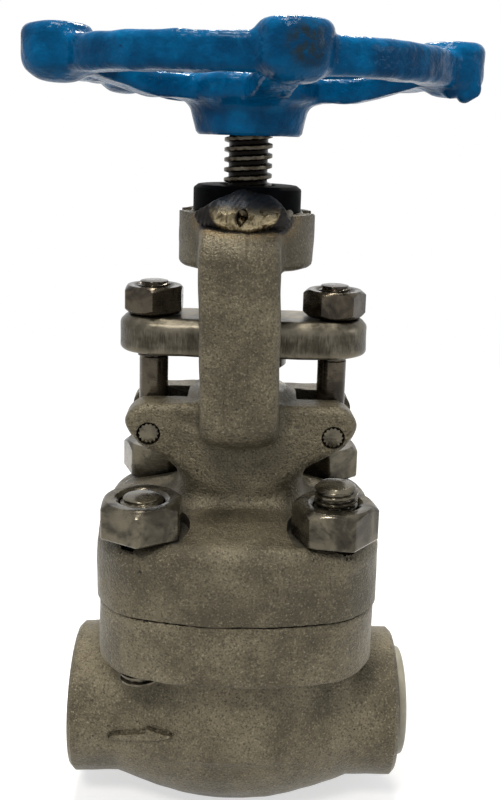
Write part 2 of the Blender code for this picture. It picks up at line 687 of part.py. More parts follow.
def make_disc_nut():
    """The nut that holds the stem's button in the disc. Its coned top seals on the backseat."""
    bore = STEM_RADIUS + STEM_CLEARANCE
    spigot = DISC_CUP_RADIUS - GAP
    nut = outline_solid(
        "disc_nut", [hexagon(DISC_NUT_ACROSS_FLATS, 0.0)], DISC_NUT_HEX_HEIGHT, collection=PARTS)
    move_mesh(nut, Matrix.Translation((0.0, 0.0, DISC_NUT_HEX_BOTTOM_Z + DISC_NUT_HEX_HEIGHT / 2)))
    top = DISC_NUT_HEX_TOP_Z
    root = top - DISC_NUT_HEX_HEIGHT / 4
    collar = rod("disc_nut_spigot", spigot, STEM_BUTTON_TOP_Z + GAP, root)
    lip = bore + GAP
    foot = lip + BACKSEAT_CONE_HEIGHT
    cone = turned("disc_nut_cone", [
        (0.0, top + BACKSEAT_CONE_HEIGHT), (lip, top + BACKSEAT_CONE_HEIGHT), (foot, top),
        (foot, root), (0.0, root),
    ])
    join(nut, collar, cone)
    cut(nut, rod("disc_nut_bore", bore, STEM_BOTTOM_Z, top + PAST))
    return finish(nut, BRIGHT_STEEL)


def make_stem():
    """The stem: button, shank and thread at one diameter, a drive square and a stud on top."""
    stud_top = WHEEL_NUT_BOTTOM_Z + WHEEL_NUT_HEIGHT + WHEEL_STUD_STAND
    stem = turned("stem", [
        (0.0, stud_top), (WHEEL_STUD_RADIUS - SMALL_CHAMFER, stud_top),
        (WHEEL_STUD_RADIUS, stud_top - SMALL_CHAMFER), (WHEEL_STUD_RADIUS, HUB_TOP_Z - GAP),
        (STEM_RADIUS, HUB_TOP_Z - GAP), (STEM_RADIUS, STEM_BUTTON_TOP_Z),
        (STEM_BUTTON_RADIUS, STEM_BUTTON_TOP_Z), (STEM_BUTTON_RADIUS, STEM_BOTTOM_Z),
        (0.0, STEM_BOTTOM_Z),
    ], PARTS)
    half = DRIVE_SQUARE / 2
    around = STEM_RADIUS * 2
    square = [(half, half), (-half, half), (-half, -half), (half, -half)]
    outside = [(around, around), (around, -around), (-around, -around), (-around, around)]
    height = HUB_TOP_Z - HUB_BOTTOM_Z + 2 * GAP
    flats = outline_solid("drive_flats", [outside, square], height)
    move_mesh(flats, Matrix.Translation((0.0, 0.0, HUB_BOTTOM_Z - GAP + height / 2)))
    cut(stem, flats)
    return finish(stem, STEM_STEEL)


def make_backseat_bush():
    """The bush pressed into the bonnet's underside. The disc nut's cone seals in its mouth."""
    bore = STEM_RADIUS + STEM_CLEARANCE
    mouth = bore + BACKSEAT_CONE_HEIGHT + 2 * GAP
    return finish(turned("backseat_bush", [
        (bore, BUSH_TOP_Z), (BACKSEAT_BUSH_RADIUS, BUSH_TOP_Z), (BACKSEAT_BUSH_RADIUS, BACKSEAT_Z),
        (mouth, BACKSEAT_Z), (bore, BACKSEAT_Z + mouth - bore),
    ], PARTS, closed=True), BRIGHT_STEEL)


# Bonnet with its yoke


def lug_outline():
    """The eyebolt lugs from the front, a wide T with round ends."""
    half_spacing = EYEBOLT_SPACING / 2
    root = BONNET_FLANGE_TOP_Z + FLANGE_TO_LUG_ROOT
    low = BONNET_FLANGE_TOP_Z
    right = [(NECK_HALF_X - 2 * LUG_EDGE_ROUND, low), (NECK_HALF_X - GAP, root)]
    right += arc(half_spacing, LUG_END_Z, LUG_END_RADIUS, LUG_UNDERSIDE_ANGLE, 90, 2 * CORNER_STEPS)
    return right + [(-x, z) for x, z in reversed(right)]


def yoke_outlines():
    """The yoke from the side: the frame's outside, and its window."""
    top = BOSS_TOP_Z - YOKE_SHOULDER_BELOW_BOSS_TOP
    chin = CHIMNEY_TOP_Z - YOKE_CHIN_BELOW_CHIMNEY
    chin_y = YOKE_HALF_SPAN - YOKE_CHIN_RADIUS
    shoulder_y = YOKE_HALF_SPAN - YOKE_SHOULDER_RADIUS
    frame = arc(shoulder_y, top - YOKE_SHOULDER_RADIUS, YOKE_SHOULDER_RADIUS, 0, 90)
    frame += arc(-shoulder_y, top - YOKE_SHOULDER_RADIUS, YOKE_SHOULDER_RADIUS, 90, 180)
    frame += arc(-chin_y, chin + YOKE_CHIN_RADIUS, YOKE_CHIN_RADIUS, 180, 270)
    frame += arc(chin_y, chin + YOKE_CHIN_RADIUS, YOKE_CHIN_RADIUS, 270, 360)
    floor = CHIMNEY_TOP_Z - YOKE_WINDOW_BELOW_CHIMNEY
    half = (BOSS_BOTTOM_Z + BOSS_EDGE_ROUND / 2 - floor) / 2
    window = [
        (y, z + floor + half)
        for y, z in rounded_rectangle(YOKE_WINDOW_HALF_SPAN, half, YOKE_WINDOW_ROUND)
    ]
    return [frame, window[::-1]]


def upright(made, plane):
    """Stand an outline that was drawn flat: in the front plane or in the side plane."""
    turn = Matrix.Rotation(math.pi / 2, 4, "X")
    if plane == "side":
        turn = Matrix.Rotation(math.pi / 2, 4, "Z") @ turn
    return move_mesh(made, turn)


def bonnet_shapes():
    """The forged shapes that grow out of the bonnet's flange."""
    top = BONNET_FLANGE_TOP_Z
    skirt = turned("bonnet_skirt", [
        (0.0, top + FLANGE_TO_LUG_ROOT), (NECK_HALF_Y, top + FLANGE_TO_LUG_ROOT),
        (NECK_HALF_X, top + SKIRT_RISE * 2), (SKIRT_TOP_RADIUS, top + SKIRT_RISE),
        (SKIRT_RADIUS, top - 2 * GAP), (SKIRT_RADIUS, top - SET_IN), (0.0, top - SET_IN),
    ])
    neck_height = SET_IN / 2 + FLANGE_TO_LUG_ROOT + NECK_INTO_LUGS
    neck = outline_solid(
        "bonnet_neck", [rounded_rectangle(NECK_HALF_X, NECK_HALF_Y, NECK_CORNER_RADIUS)],
        neck_height)
    move_mesh(neck, Matrix.Translation((0.0, 0.0, top - SET_IN / 2 + neck_height / 2)))
    lugs = outline_solid("bonnet_lugs", [lug_outline()], 2 * LUG_HALF_DEPTH, LUG_EDGE_ROUND)
    upright(lugs, "front")
    yoke = outline_solid(
        "bonnet_yoke", yoke_outlines(), 2 * YOKE_HALF_WIDTH, YOKE_EDGE_ROUND, fine=1)
    upright(yoke, "side")
    chimney = turned("bonnet_chimney", [
        (0.0, CHIMNEY_TOP_Z), (CHIMNEY_RADIUS - CHIMNEY_CHAMFER, CHIMNEY_TOP_Z),
        (CHIMNEY_RADIUS, CHIMNEY_TOP_Z - CHIMNEY_CHAMFER), (CHIMNEY_RADIUS, top), (0.0, top),
    ])
    soft = BOSS_EDGE_ROUND
    part_soft = soft * (1 - math.sqrt(0.5))
    boss = turned("bonnet_boss", [
        (0.0, BOSS_TOP_Z), (BOSS_RADIUS - BOSS_TOP_CHAMFER, BOSS_TOP_Z),
        (BOSS_RADIUS, BOSS_TOP_Z - BOSS_TOP_CHAMFER), (BOSS_RADIUS, BOSS_BOTTOM_Z + soft),
        (BOSS_RADIUS - part_soft, BOSS_BOTTOM_Z + part_soft), (BOSS_RADIUS - soft, BOSS_BOTTOM_Z),
        (0.0, BOSS_BOTTOM_Z),
    ])
    tongue = rod("bonnet_tongue", GASKET_RADIUS, TONGUE_BOTTOM_Z, BONNET_BOTTOM_Z + SET_IN)
    return [skirt, neck, chimney, lugs, yoke, boss, tongue]


def eyebolt_slot(name, side):
    inner = CHIMNEY_RADIUS + GAP
    outer = EYEBOLT_SPACING
    low_x, high_x = sorted((side * inner, side * outer))
    half = EYE_THICKNESS / 2 + RUNNING_GAP
    floor = BONNET_FLANGE_TOP_Z + FLANGE_TO_LUG_ROOT / 2
    return block(name, (low_x, -half, floor), (high_x, half, CHIMNEY_TOP_Z + PAST))


def pin_hole(name, side, radius, half_length):
    hole = rod(name, radius, -half_length, half_length, steps=SMALL_STEPS)
    hole.rotation_euler = (math.pi / 2, 0.0, 0.0)
    hole.location = (side * EYEBOLT_SPACING / 2, 0.0, PIN_Z)
    return hole


def bonnet_bore():
    """The turned hollow up the bonnet: bush pocket, stem hole, packing box and yoke nut hole."""
    clear = STEM_RADIUS + STEM_CLEARANCE
    bush = BACKSEAT_BUSH_RADIUS + GAP
    below = TONGUE_BOTTOM_Z - PAST
    above = CHIMNEY_TOP_Z + PAST
    lower = turned("bonnet_lower_bore", [
        (0.0, above), (PACKING_BOX_RADIUS, above),
        (PACKING_BOX_RADIUS, PACKING_BOX_BOTTOM_Z), (clear, PACKING_BOX_BOTTOM_Z),
        (clear, BUSH_POCKET_TOP_Z), (bush, BUSH_POCKET_TOP_Z), (bush, below), (0.0, below),
    ])
    upper = rod(
        "bonnet_upper_bore", YOKE_NUT_SLEEVE_RADIUS + GAP, BOSS_BOTTOM_Z - PAST, BOSS_TOP_Z + PAST)
    return [lower, upper]


def spot_faced_holes():
    """Stud holes with round seats for the nuts, cut into the flange's top and the neck's foot."""
    seat = BONNET_FLANGE_TOP_Z - GAP
    above = BONNET_FLANGE_TOP_Z + SPOT_FACE_REACH
    below = BONNET_BOTTOM_Z - PAST
    hole = STUD_RADIUS + STUD_HOLE_CLEARANCE
    return stud_holes("stud_hole", [
        (0.0, above), (SPOT_FACE_RADIUS, above), (SPOT_FACE_RADIUS, seat), (hole, seat),
        (hole, below), (0.0, below),
    ])


def make_bonnet():
    outline = bowed_square(
        BONNET_FLANGE_HALF_X, BONNET_FLANGE_HALF_Y, FLANGE_SIDE_BOW_RADIUS, FLANGE_FRONT_BOW_RADIUS,
        FLANGE_CORNER_RADIUS,
    )
    bonnet = outline_solid("bonnet", [outline], BONNET_FLANGE_THICKNESS, collection=PARTS)
    middle = BONNET_BOTTOM_Z + BONNET_FLANGE_THICKNESS / 2
    move_mesh(bonnet, Matrix.Translation((0.0, 0.0, middle)))
    round_rim(bonnet, BONNET_FLANGE_TOP_Z, BONNET_FLANGE_TOP_ROUND)
    join(bonnet, *bonnet_shapes())
    cut(bonnet, *bonnet_bore())
    cut(bonnet, *spot_faced_holes())
    for side, name in ((-1, "left"), (1, "right")):
        cut(bonnet, eyebolt_slot("eyebolt_slot_" + name, side))
        cut(bonnet, pin_hole("lug_hole_" + name, side, EYE_PIN_RADIUS + GAP, LUG_HALF_DEPTH * 2))
    return finish(bonnet, FORGED_STEEL)


# Bonnet bolting


def make_bonnet_bolting():
    nut_bottom = BONNET_FLANGE_TOP_Z
    for place_name, side_x, side_y, stand, turn in STUDS:
        x = side_x * STUD_SPACING / 2
        y = side_y * STUD_SPACING / 2
        stud = rod(
            "bonnet_stud_" + place_name, STUD_RADIUS, BODY_FLANGE_UNDER_Z - STUD_BELOW_BODY_FLANGE,
            nut_bottom + BONNET_NUT_HEIGHT + stand, PARTS, SMALL_STEPS, STUD_TIP_CHAMFER)
        finish(stud, BRIGHT_STEEL)
        nut, tools = hex_nut(
            "bonnet_nut_" + place_name, BONNET_NUT_ACROSS_FLATS, nut_bottom, BONNET_NUT_HEIGHT,
            STUD_RADIUS + GAP, turn)
        finish(nut, BRIGHT_STEEL)
        place([stud, nut] + tools, x, y)


# Packing and gland


def make_packing():
    for i in range(PACKING_RING_COUNT):
        bottom = PACKING_BOX_BOTTOM_Z + GAP + i * PACKING_PITCH
        finish(ring(
            "packing_ring_" + str(i + 1), PACKING_BOX_RADIUS - GAP, STEM_RADIUS + RUNNING_GAP,
            bottom, bottom + PACKING_RING_HEIGHT, PARTS, PACKING_STEPS,
        ), GRAPHITE)


def make_gland():
    """The sleeve that presses on the packing, with a shoulder under the gland flange."""
    sleeve = PACKING_BOX_RADIUS - RUNNING_GAP
    bore = STEM_RADIUS + STEM_CLEARANCE
    return finish(turned("gland", [
        (bore, GLAND_TOP_Z), (GLAND_SHOULDER_RADIUS, GLAND_TOP_Z),
        (GLAND_SHOULDER_RADIUS, GLAND_SHOULDER_Z), (sleeve, GLAND_SHOULDER_Z),
        (sleeve, GLAND_BOTTOM_Z), (bore, GLAND_BOTTOM_Z),
    ], PARTS, closed=True), DARK_STEEL)


def gland_flange_outline():
    """An oval plate: round ends at the eyebolts, and sides that bow out to the middle."""
    half_spacing = EYEBOLT_SPACING / 2
    width = GLAND_FLANGE_HALF_WIDTH
    end = GLAND_FLANGE_END_RADIUS
    bow = (half_spacing ** 2 + width ** 2 - end ** 2) / (2 * (width - end))
    lean = math.degrees(math.atan2(bow - width, half_spacing))
    right = arc(half_spacing, 0.0, end, -lean, lean, 3 * CORNER_STEPS)
    top = arc(0.0, width - bow, bow, lean, HALF_TURN - lean, 2 * CORNER_STEPS)[1:-1]
    return right + top + [(-x, -y) for x, y in right] + [(-x, -y) for x, y in top]


def make_gland_flange():
    plate = outline_solid(
        "gland_flange", [gland_flange_outline()], GLAND_FLANGE_THICKNESS, GLAND_FLANGE_EDGE_ROUND,
        PARTS)
    middle = (GLAND_FLANGE_BOTTOM_Z + GLAND_FLANGE_TOP_Z) / 2
    move_mesh(plate, Matrix.Translation((0.0, 0.0, middle)))
    low = GLAND_FLANGE_BOTTOM_Z - PAST
    high = GLAND_FLANGE_TOP_Z + PAST
    cut(plate, rod("gland_flange_bore", STEM_RADIUS + STEM_CLEARANCE * 2, low, high))
    radius = EYEBOLT_THREAD_RADIUS + GAP
    for side, name in ((-1, "left"), (1, "right")):
        hole = rod("gland_flange_hole_" + name, radius, low, high, steps=SMALL_STEPS)
        place([hole], side * EYEBOLT_SPACING / 2, 0.0)
        cut(plate, hole)
    return finish(plate, DARK_STEEL)


def make_eyebolt(name, side):
    """A swing bolt: an eye on its pin, a plain shank and a threaded end."""
    run_out = GLAND_FLANGE_BOTTOM_Z - EYEBOLT_THREAD_BELOW_FLANGE
    step = EYEBOLT_THREAD_RADIUS - EYEBOLT_SHANK_RADIUS
    bolt = turned("eyebolt_" + name, [
        (0.0, EYEBOLT_TOP_Z), (EYEBOLT_SHANK_RADIUS, EYEBOLT_TOP_Z),
        (EYEBOLT_THREAD_RADIUS, EYEBOLT_TOP_Z - step * 2), (EYEBOLT_THREAD_RADIUS, run_out),
        (EYEBOLT_SHANK_RADIUS, run_out - step), (EYEBOLT_SHANK_RADIUS, PIN_Z), (0.0, PIN_Z),
    ], PARTS, SMALL_STEPS)
    place([bolt], side * EYEBOLT_SPACING / 2, 0.0)
    half = EYE_THICKNESS / 2
    eye = rod("eye_" + name, EYE_RADIUS, -half, half, steps=SMALL_STEPS, chamfer=SMALL_CHAMFER)
    eye.rotation_euler = (math.pi / 2, 0.0, 0.0)
    eye.location = (side * EYEBOLT_SPACING / 2, 0.0, PIN_Z)
    join(bolt, eye)
    cut(bolt, pin_hole("eye_hole_" + name, side, EYE_PIN_RADIUS + GAP, EYE_THICKNESS))
    return finish(bolt, DARK_STEEL)


def make_pin(name, side):
    half = LUG_HALF_DEPTH - GAP
    pin = rod(
        "eyebolt_pin_" + name, EYE_PIN_RADIUS, -half, half, PARTS, SMALL_STEPS, SMALL_CHAMFER / 2)
    pin.rotation_euler = (math.pi / 2, 0.0, 0.0)
    pin.location = (side * EYEBOLT_SPACING / 2, 0.0, PIN_Z)
    return finish(pin, BRIGHT_STEEL)


def make_gland_bolting():
    for side, name in ((-1, "left"), (1, "right")):
        make_eyebolt(name, side)
        make_pin(name, side)
        nut, tools = hex_nut(
            "gland_nut_" + name, GLAND_NUT_ACROSS_FLATS, GLAND_NUT_BOTTOM_Z, GLAND_NUT_HEIGHT,
            EYEBOLT_THREAD_RADIUS + GAP, GLAND_NUT_TURNS[name], both_ends=True)
        finish(nut, DARK_STEEL)
        place([nut] + tools, side * EYEBOLT_SPACING / 2, 0.0)


# Yoke nut, weld and handwheel


def make_yoke_nut():
    """The threaded nut that the stem climbs through, with a round head on the boss."""
    bore = STEM_RADIUS + RUNNING_GAP
    head = YOKE_NUT_RADIUS
    bottom = BOSS_TOP_Z + GAP
    return finish(turned("yoke_nut", [
        (bore, YOKE_NUT_TOP_Z), (head - YOKE_NUT_CHAMFER, YOKE_NUT_TOP_Z),
        (head, YOKE_NUT_TOP_Z - YOKE_NUT_CHAMFER), (head, bottom), (YOKE_NUT_SLEEVE_RADIUS, bottom),
        (YOKE_NUT_SLEEVE_RADIUS, BOSS_BOTTOM_Z), (bore, BOSS_BOTTOM_Z),
    ], PARTS, closed=True), BLACK_STEEL)


def make_weld():
    """The lump of weld metal that locks the yoke nut's head to the front of the boss."""
    shell = bmesh.new()
    bmesh.ops.create_uvsphere(
        shell, u_segments=WELD_STEPS, v_segments=WELD_STEPS // 2, radius=1.0)
    size = (WELD_HALF_WIDTH, WELD_HALF_DEPTH, WELD_HALF_HEIGHT)
    bmesh.ops.scale(shell, vec=size, verts=shell.verts)
    mesh = bpy.data.meshes.new("yoke_nut_weld")
    shell.to_mesh(mesh)
    shell.free()
    weld = add_object("yoke_nut_weld", mesh, PARTS)
    middle_y = -(YOKE_NUT_RADIUS + BOSS_RADIUS) / 2
    weld.location = (WELD_SHIFT_X, middle_y, BOSS_TOP_Z + WELD_ABOVE_BOSS)
    nut_side = YOKE_NUT_RADIUS + GAP
    cut(weld, rod("weld_nut_side", nut_side, BOSS_TOP_Z - GAP, YOKE_NUT_TOP_Z + PAST))
    cut(weld, rod("weld_boss_side", BOSS_RADIUS + GAP, BOSS_BOTTOM_Z, BOSS_TOP_Z + GAP))
    arm_front = YOKE_HALF_SPAN + GAP
    arm_top = BOSS_TOP_Z - YOKE_SHOULDER_BELOW_BOSS_TOP + GAP
    cut(weld, block(
        "weld_arm_side",
        (-YOKE_HALF_SPAN, -arm_front, BOSS_BOTTOM_Z),
        (YOKE_HALF_SPAN, 0.0, arm_top),
    ))
    return finish(weld, WELD_METAL)


def make_spoke(index):
    """One dished spoke: level out from the hub, then up to the rim."""
    inner = HUB_RADIUS - SET_IN
    bend = SPOKE_BEND_RADIUS
    outer = RIM_RADIUS
    low = SPOKE_BOTTOM_Z
    high = SPOKE_BOTTOM_Z + SPOKE_THICKNESS
    rise = RIM_MIDDLE_Z - (low + high) / 2
    outline = [
        (inner, low), (bend, low), (outer, low + rise), (outer, high + rise), (bend, high),
        (inner, high),
    ]
    spoke = outline_solid("spoke_" + str(index), [outline], SPOKE_WIDTH, SPOKE_EDGE_ROUND)
    upright(spoke, "front")
    return spoke


def lobe_angle(index):
    """The direction of a lobe in radians from +X. The first points to the front."""
    return math.radians(FIRST_LOBE_ANGLE - 90 + 360 * index / LOBE_COUNT)


def make_lobe(index):
    """One knob on the rim, rounder than a drum and fuller than a ball."""
    profile = []
    for i in range(LOBE_RINGS + 1):
        lean = math.pi * (i / LOBE_RINGS - 0.5)
        radius = LOBE_HALF_WIDTH * max(math.cos(lean), 0.0) ** LOBE_FULLNESS
        height = LOBE_HALF_HEIGHT * abs(math.sin(lean)) ** LOBE_FULLNESS
        profile.append((radius, -math.copysign(height, lean)))
    profile[0] = (0.0, LOBE_HALF_HEIGHT)
    profile[-1] = (0.0, -LOBE_HALF_HEIGHT)
    lobe = turned("lobe_" + str(index), profile, steps=LOBE_STEPS)
    angle = lobe_angle(index)
    height = RIM_MIDDLE_Z + LOBE_ABOVE_RIM_MIDDLE
    lobe.location = (LOBE_RADIUS * math.cos(angle), LOBE_RADIUS * math.sin(angle), height)
    return lobe


def make_handwheel():
    half = RIM_HALF_WIDTH
    soft = RIM_EDGE_ROUND
    outer = RIM_RADIUS + half
    inner = RIM_RADIUS - half
    top = RIM_BOTTOM_Z + RIM_HEIGHT
    wheel = turned("handwheel", [
        (outer - soft, top), (outer, top - soft), (outer, RIM_BOTTOM_Z + soft / 2),
        (outer - soft / 2, RIM_BOTTOM_Z), (inner + soft / 2, RIM_BOTTOM_Z),
        (inner, RIM_BOTTOM_Z + soft / 2), (inner, top - soft), (inner + soft, top),
    ], PARTS, steps=RIM_STEPS, closed=True)
    hub = turned("hub", [
        (0.0, HUB_TOP_Z), (HUB_RADIUS, HUB_TOP_Z),
        (HUB_FLARE_RADIUS, SPOKE_BOTTOM_Z + HUB_FLARE_EDGE), (HUB_FLARE_RADIUS, SPOKE_BOTTOM_Z),
        (HUB_RADIUS, SPOKE_BOTTOM_Z - HUB_FLARE_HEIGHT),
        (HUB_RADIUS, HUB_BOTTOM_Z + HUB_CHAMFER), (HUB_RADIUS - HUB_CHAMFER, HUB_BOTTOM_Z),
        (0.0, HUB_BOTTOM_Z),
    ])
    for i in range(LOBE_COUNT):
        spoke = make_spoke(i)
        spoke.rotation_euler = (0.0, 0.0, lobe_angle(i))
        join(wheel, spoke, make_lobe(i))
    join(wheel, hub)
    half_square = DRIVE_SQUARE / 2 + DRIVE_SQUARE_GAP
    bore = block(
        "hub_bore",
        (-half_square, -half_square, HUB_BOTTOM_Z - 2 * PAST),
        (half_square, half_square, HUB_TOP_Z + 2 * PAST),
    )
    keep_inside(bore, rod(
        "hub_bore_round", STEM_RADIUS + DRIVE_SQUARE_GAP, HUB_BOTTOM_Z - PAST, HUB_TOP_Z + PAST))
    cut(wheel, bore)
    return finish(wheel, BLUE_PAINT)


def make_wheel_fastening():
    bore = WHEEL_STUD_RADIUS + GAP
    bottom = HUB_TOP_Z + GAP
    washer = ring(
        "wheel_washer", WHEEL_WASHER_RADIUS, bore, bottom, bottom + WHEEL_WASHER_THICKNESS, PARTS,
        SMALL_STEPS)
    finish(washer, BLACK_STEEL)
    nut, _ = hex_nut(
        "wheel_nut", WHEEL_NUT_ACROSS_FLATS, WHEEL_NUT_BOTTOM_Z, WHEEL_NUT_HEIGHT, bore, 0.0)
    finish(nut, BLACK_STEEL)


# Port cap


def make_port_cap():
    """A thin push-in plug with a flange, which keeps dirt out of the outlet socket."""
    face = HALF_LENGTH + GAP
    end = face + CAP_FLANGE_THICKNESS
    plug = SOCKET_BORE_RADIUS - GAP
    inside = plug - CAP_WALL
    depth = HALF_LENGTH - CAP_PLUG_DEPTH
    cap = turned("port_cap", [
        (0.0, end), (CAP_FLANGE_RADIUS - SMALL_CHAMFER, end),
        (CAP_FLANGE_RADIUS, end - SMALL_CHAMFER),
        (CAP_FLANGE_RADIUS, face), (plug, face), (plug, depth), (inside, depth),
        (inside, end - CAP_WALL), (0.0, end - CAP_WALL),
    ], PARTS)
    return finish(lie_along_x(cap), WHITE_PLASTIC)


def main():
    make_body()
    make_seat_ring()
    make_gasket()
    make_disc()
    make_disc_nut()
    make_stem()
    make_backseat_bush()
    make_bonnet()
    make_bonnet_bolting()
    make_packing()
    make_gland()
    make_gland_flange()
    make_gland_bolting()
    make_yoke_nut()
    make_weld()
    make_handwheel()
    make_wheel_fastening()
    make_port_cap()


main()
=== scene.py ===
import itertools
import math

import bpy
import numpy as np
from mathutils import Matrix, Vector


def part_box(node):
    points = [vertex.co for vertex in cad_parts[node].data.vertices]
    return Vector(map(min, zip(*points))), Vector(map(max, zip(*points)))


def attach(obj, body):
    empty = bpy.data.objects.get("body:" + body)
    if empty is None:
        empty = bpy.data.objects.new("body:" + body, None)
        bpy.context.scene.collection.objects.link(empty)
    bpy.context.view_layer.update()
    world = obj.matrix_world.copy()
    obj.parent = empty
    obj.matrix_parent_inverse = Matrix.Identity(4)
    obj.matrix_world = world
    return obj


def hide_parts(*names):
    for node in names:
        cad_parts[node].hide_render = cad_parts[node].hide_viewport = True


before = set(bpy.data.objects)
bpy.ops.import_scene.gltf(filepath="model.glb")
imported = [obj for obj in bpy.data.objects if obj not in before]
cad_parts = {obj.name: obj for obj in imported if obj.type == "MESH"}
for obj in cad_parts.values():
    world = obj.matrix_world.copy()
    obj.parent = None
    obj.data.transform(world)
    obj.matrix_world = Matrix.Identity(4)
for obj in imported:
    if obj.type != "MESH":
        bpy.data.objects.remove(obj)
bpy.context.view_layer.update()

# Sizes are in millimetres, and meshes are scaled to metres when they are made.
MM = 0.001


def corners(node):
    """A CAD node's lowest and highest corners."""
    low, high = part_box(node)
    return np.array(low) / MM, np.array(high) / MM


def centre(node):
    """The middle of a CAD node's box."""
    low, high = corners(node)
    return (low + high) / 2


def lowest(node):
    """The height of a CAD node's lowest point."""
    return corners(node)[0][2]


def highest(node):
    """The height of a CAD node's highest point."""
    return corners(node)[1][2]


# Places taken from the frame
PORT_Z = centre("port_cap")[2]
HALF_LENGTH = corners("body")[1][0]
BODY_TOP = highest("body")
TONGUE_BOTTOM = lowest("bonnet")
BOSS_TOP = highest("bonnet")
NUT_SEAT = lowest("bonnet_nut_front_left")
BONNET_NUT_TOP = highest("bonnet_nut_front_left")
STUD_BOTTOM = lowest("bonnet_stud_front_left")
STUD_OFFSET = centre("bonnet_stud_front_right")[0]
PIN_X, _, PIN_Z = centre("eyebolt_pin_right")
GLAND_BOTTOM = lowest("gland")
GLAND_TOP = highest("gland")
GLAND_FLANGE_BOTTOM = lowest("gland_flange")
GLAND_FLANGE_TOP = highest("gland_flange")
GLAND_NUT_BOTTOM = lowest("gland_nut_left")
GLAND_NUT_TOP = highest("gland_nut_left")
BOSS_BOTTOM = lowest("yoke_nut")
HUB_BOTTOM = lowest("handwheel")
WHEEL_NUT_BOTTOM = lowest("wheel_nut")
WHEEL_NUT_TOP = highest("wheel_nut")
BUSH_TOP = highest("backseat_bush")
PACKING_BOTTOM = lowest("packing_ring_1")
SEAT_TOP = highest("seat_ring")
SEAT_BOTTOM = lowest("seat_ring")
GASKET_BOTTOM = lowest("bonnet_gasket")

# Fits
GAP = 0.3

# Body
END_RADIUS = 17.7
END_CHAMFER = 1.0
BELLY_RADIUS = 23.6
BELLY_HALF_LENGTH = 28.0
SOCKET_RADIUS = 10.95
SOCKET_DEPTH = 10.0
PASSAGE_RADIUS = 5.0
PASSAGE_SETBACK = 2.0
INLET_DROP = 12.0
INLET_WELL = 14.0
OUTLET_RISE = 12.5
BODY_NECK_RADIUS = 22.0
BODY_FLANGE_THICKNESS = 14.5
BODY_FLANGE_HALF = (32.5, 31.4)
FRONT_BOW = 74.0
SIDE_BOW = 150.0
FLANGE_CORNER = 8.0
CHAMBER_RADIUS = 12.3
SEAT_POCKET_RADIUS = 9.3
SEAT_STAND = 3.5
GASKET_RADIUS = 17.0
TAPPED_RADIUS = 5.15
BODY_NECK_FILLET = 5.0
FLANGE_FILLET = 0.8
FLANGE_UNDER_ROUND = 1.0
FLANGE_TOP_ROUND = 0.6

# Flow arrow on the body's front, as X and height above the port's axis
ARROW = (
    (-29.3, -0.4), (-28.4, 0.5), (-20.5, 2.6), (-20.3, 3.7), (-13.3, 2.9), (-18.3, 1.3), (-29.0, -0.95))
ARROW_STAND = 0.9
ARROW_GROOVE = 0.25

# Bonnet
BONNET_FLANGE_HALF = (33.0, 31.6)
CROWN_RISE = 4.25
CROWN_FALL = 0.0047
CROWN_ROUND = 3.0
NECK_HALF = (14.7, 12.8)
NECK_CORNER = 6.0
NECK_FILLET = 3.0
LUG_TOP_ABOVE_PIN = 7.0
LUG_END_ROUND = 5.6
LUG_HALF_DEPTH = 12.3
LUG_UNDER_POINT = (21.75, -3.87)
LUG_UNDER_SLOPE = math.radians(-60.03)
LUG_UNDER_ROUND = 4.2
LUG_EDGE_ROUND = 1.9
SLOT_HALF = 4.5
SLOT_INNER = 12.8
SLOT_FLOOR_BELOW_PIN = 14.1
CHIMNEY_RADIUS = 12.5
CHIMNEY_CHAMFER = 2.2
CHIMNEY_ABOVE_PIN = 9.0
CHIMNEY_FILLET = 1.5
PACKING_BOX_RADIUS = 8.6
STEM_HOLE_RADIUS = 5.9
BUSH_POCKET_RADIUS = 10.3
YOKE_HALF_SPAN = 21.8
YOKE_WINDOW_HALF = 12.6
YOKE_WINDOW_ROUND = 4.0
YOKE_HALF_WIDTH = (8.7, 8.9)
YOKE_SHIFT = -0.4
YOKE_LEAN = -0.85
YOKE_CHIN_BELOW_PIN = 1.4
YOKE_CHIN_BOW = 0.02
YOKE_LEAN_FROM = 100.0
YOKE_LEAN_TO = 138.0
YOKE_SHOULDER_DROP = 1.8
YOKE_SHOULDER_ROUND = 8.0
YOKE_CHIN_ROUND = 5.5
YOKE_WINDOW_EDGE_ROUND = 2.0
YOKE_EDGE_ROUND = 2.2
YOKE_FILLET = 2.4
DIE_MARKS = (-3.4, 1.7)
DIE_MARK_DEPTH = 0.16
DIE_MARK_HALF = 0.35
BOSS_RADIUS = 16.0
BOSS_LIP = 0.4
BOSS_FILLET = 1.8
YOKE_NUT_HOLE_RADIUS = 9.3
SPOT_FACE_RADIUS = 10.6
SPOT_FACE_HEIGHT = 13.7
STUD_HOLE_RADIUS = 5.45
PIN_RADIUS = 2.5
PIN_GROOVE = 0.15

# Gland flange
GLAND_PLATE_HALF_WIDTH = 9.8
GLAND_PLATE_END_RADIUS = 8.1
GLAND_PLATE_BEVEL = 1.7
GLAND_PLATE_BORE = 6.3
GLAND_PLATE_HOLE = 4.1

# Threads, as outside radius, root radius and pitch, and the nuts' sizes across flats
BONNET_THREAD = (4.85, 4.05, 1.5)
GLAND_THREAD = (3.8, 3.15, 1.25)
WHEEL_THREAD = (4.0, 3.4, 1.25)
STEM_RADIUS = 5.5
STEM_ROOT_RADIUS = 4.45
STEM_PITCH = 2.25
BONNET_NUT_ACROSS = 17.1
SMALL_NUT_ACROSS = 13.0
NUT_CORNER_SHARE = 0.567
NUT_CROWN_SHARE = 0.95
NUT_CROWN_SLOPE = math.tan(math.radians(38.0))
NUT_WEAR = 0.22
STUD_BELOW_FLANGE = 2.4
STUD_CUT_SHORT = 2.1

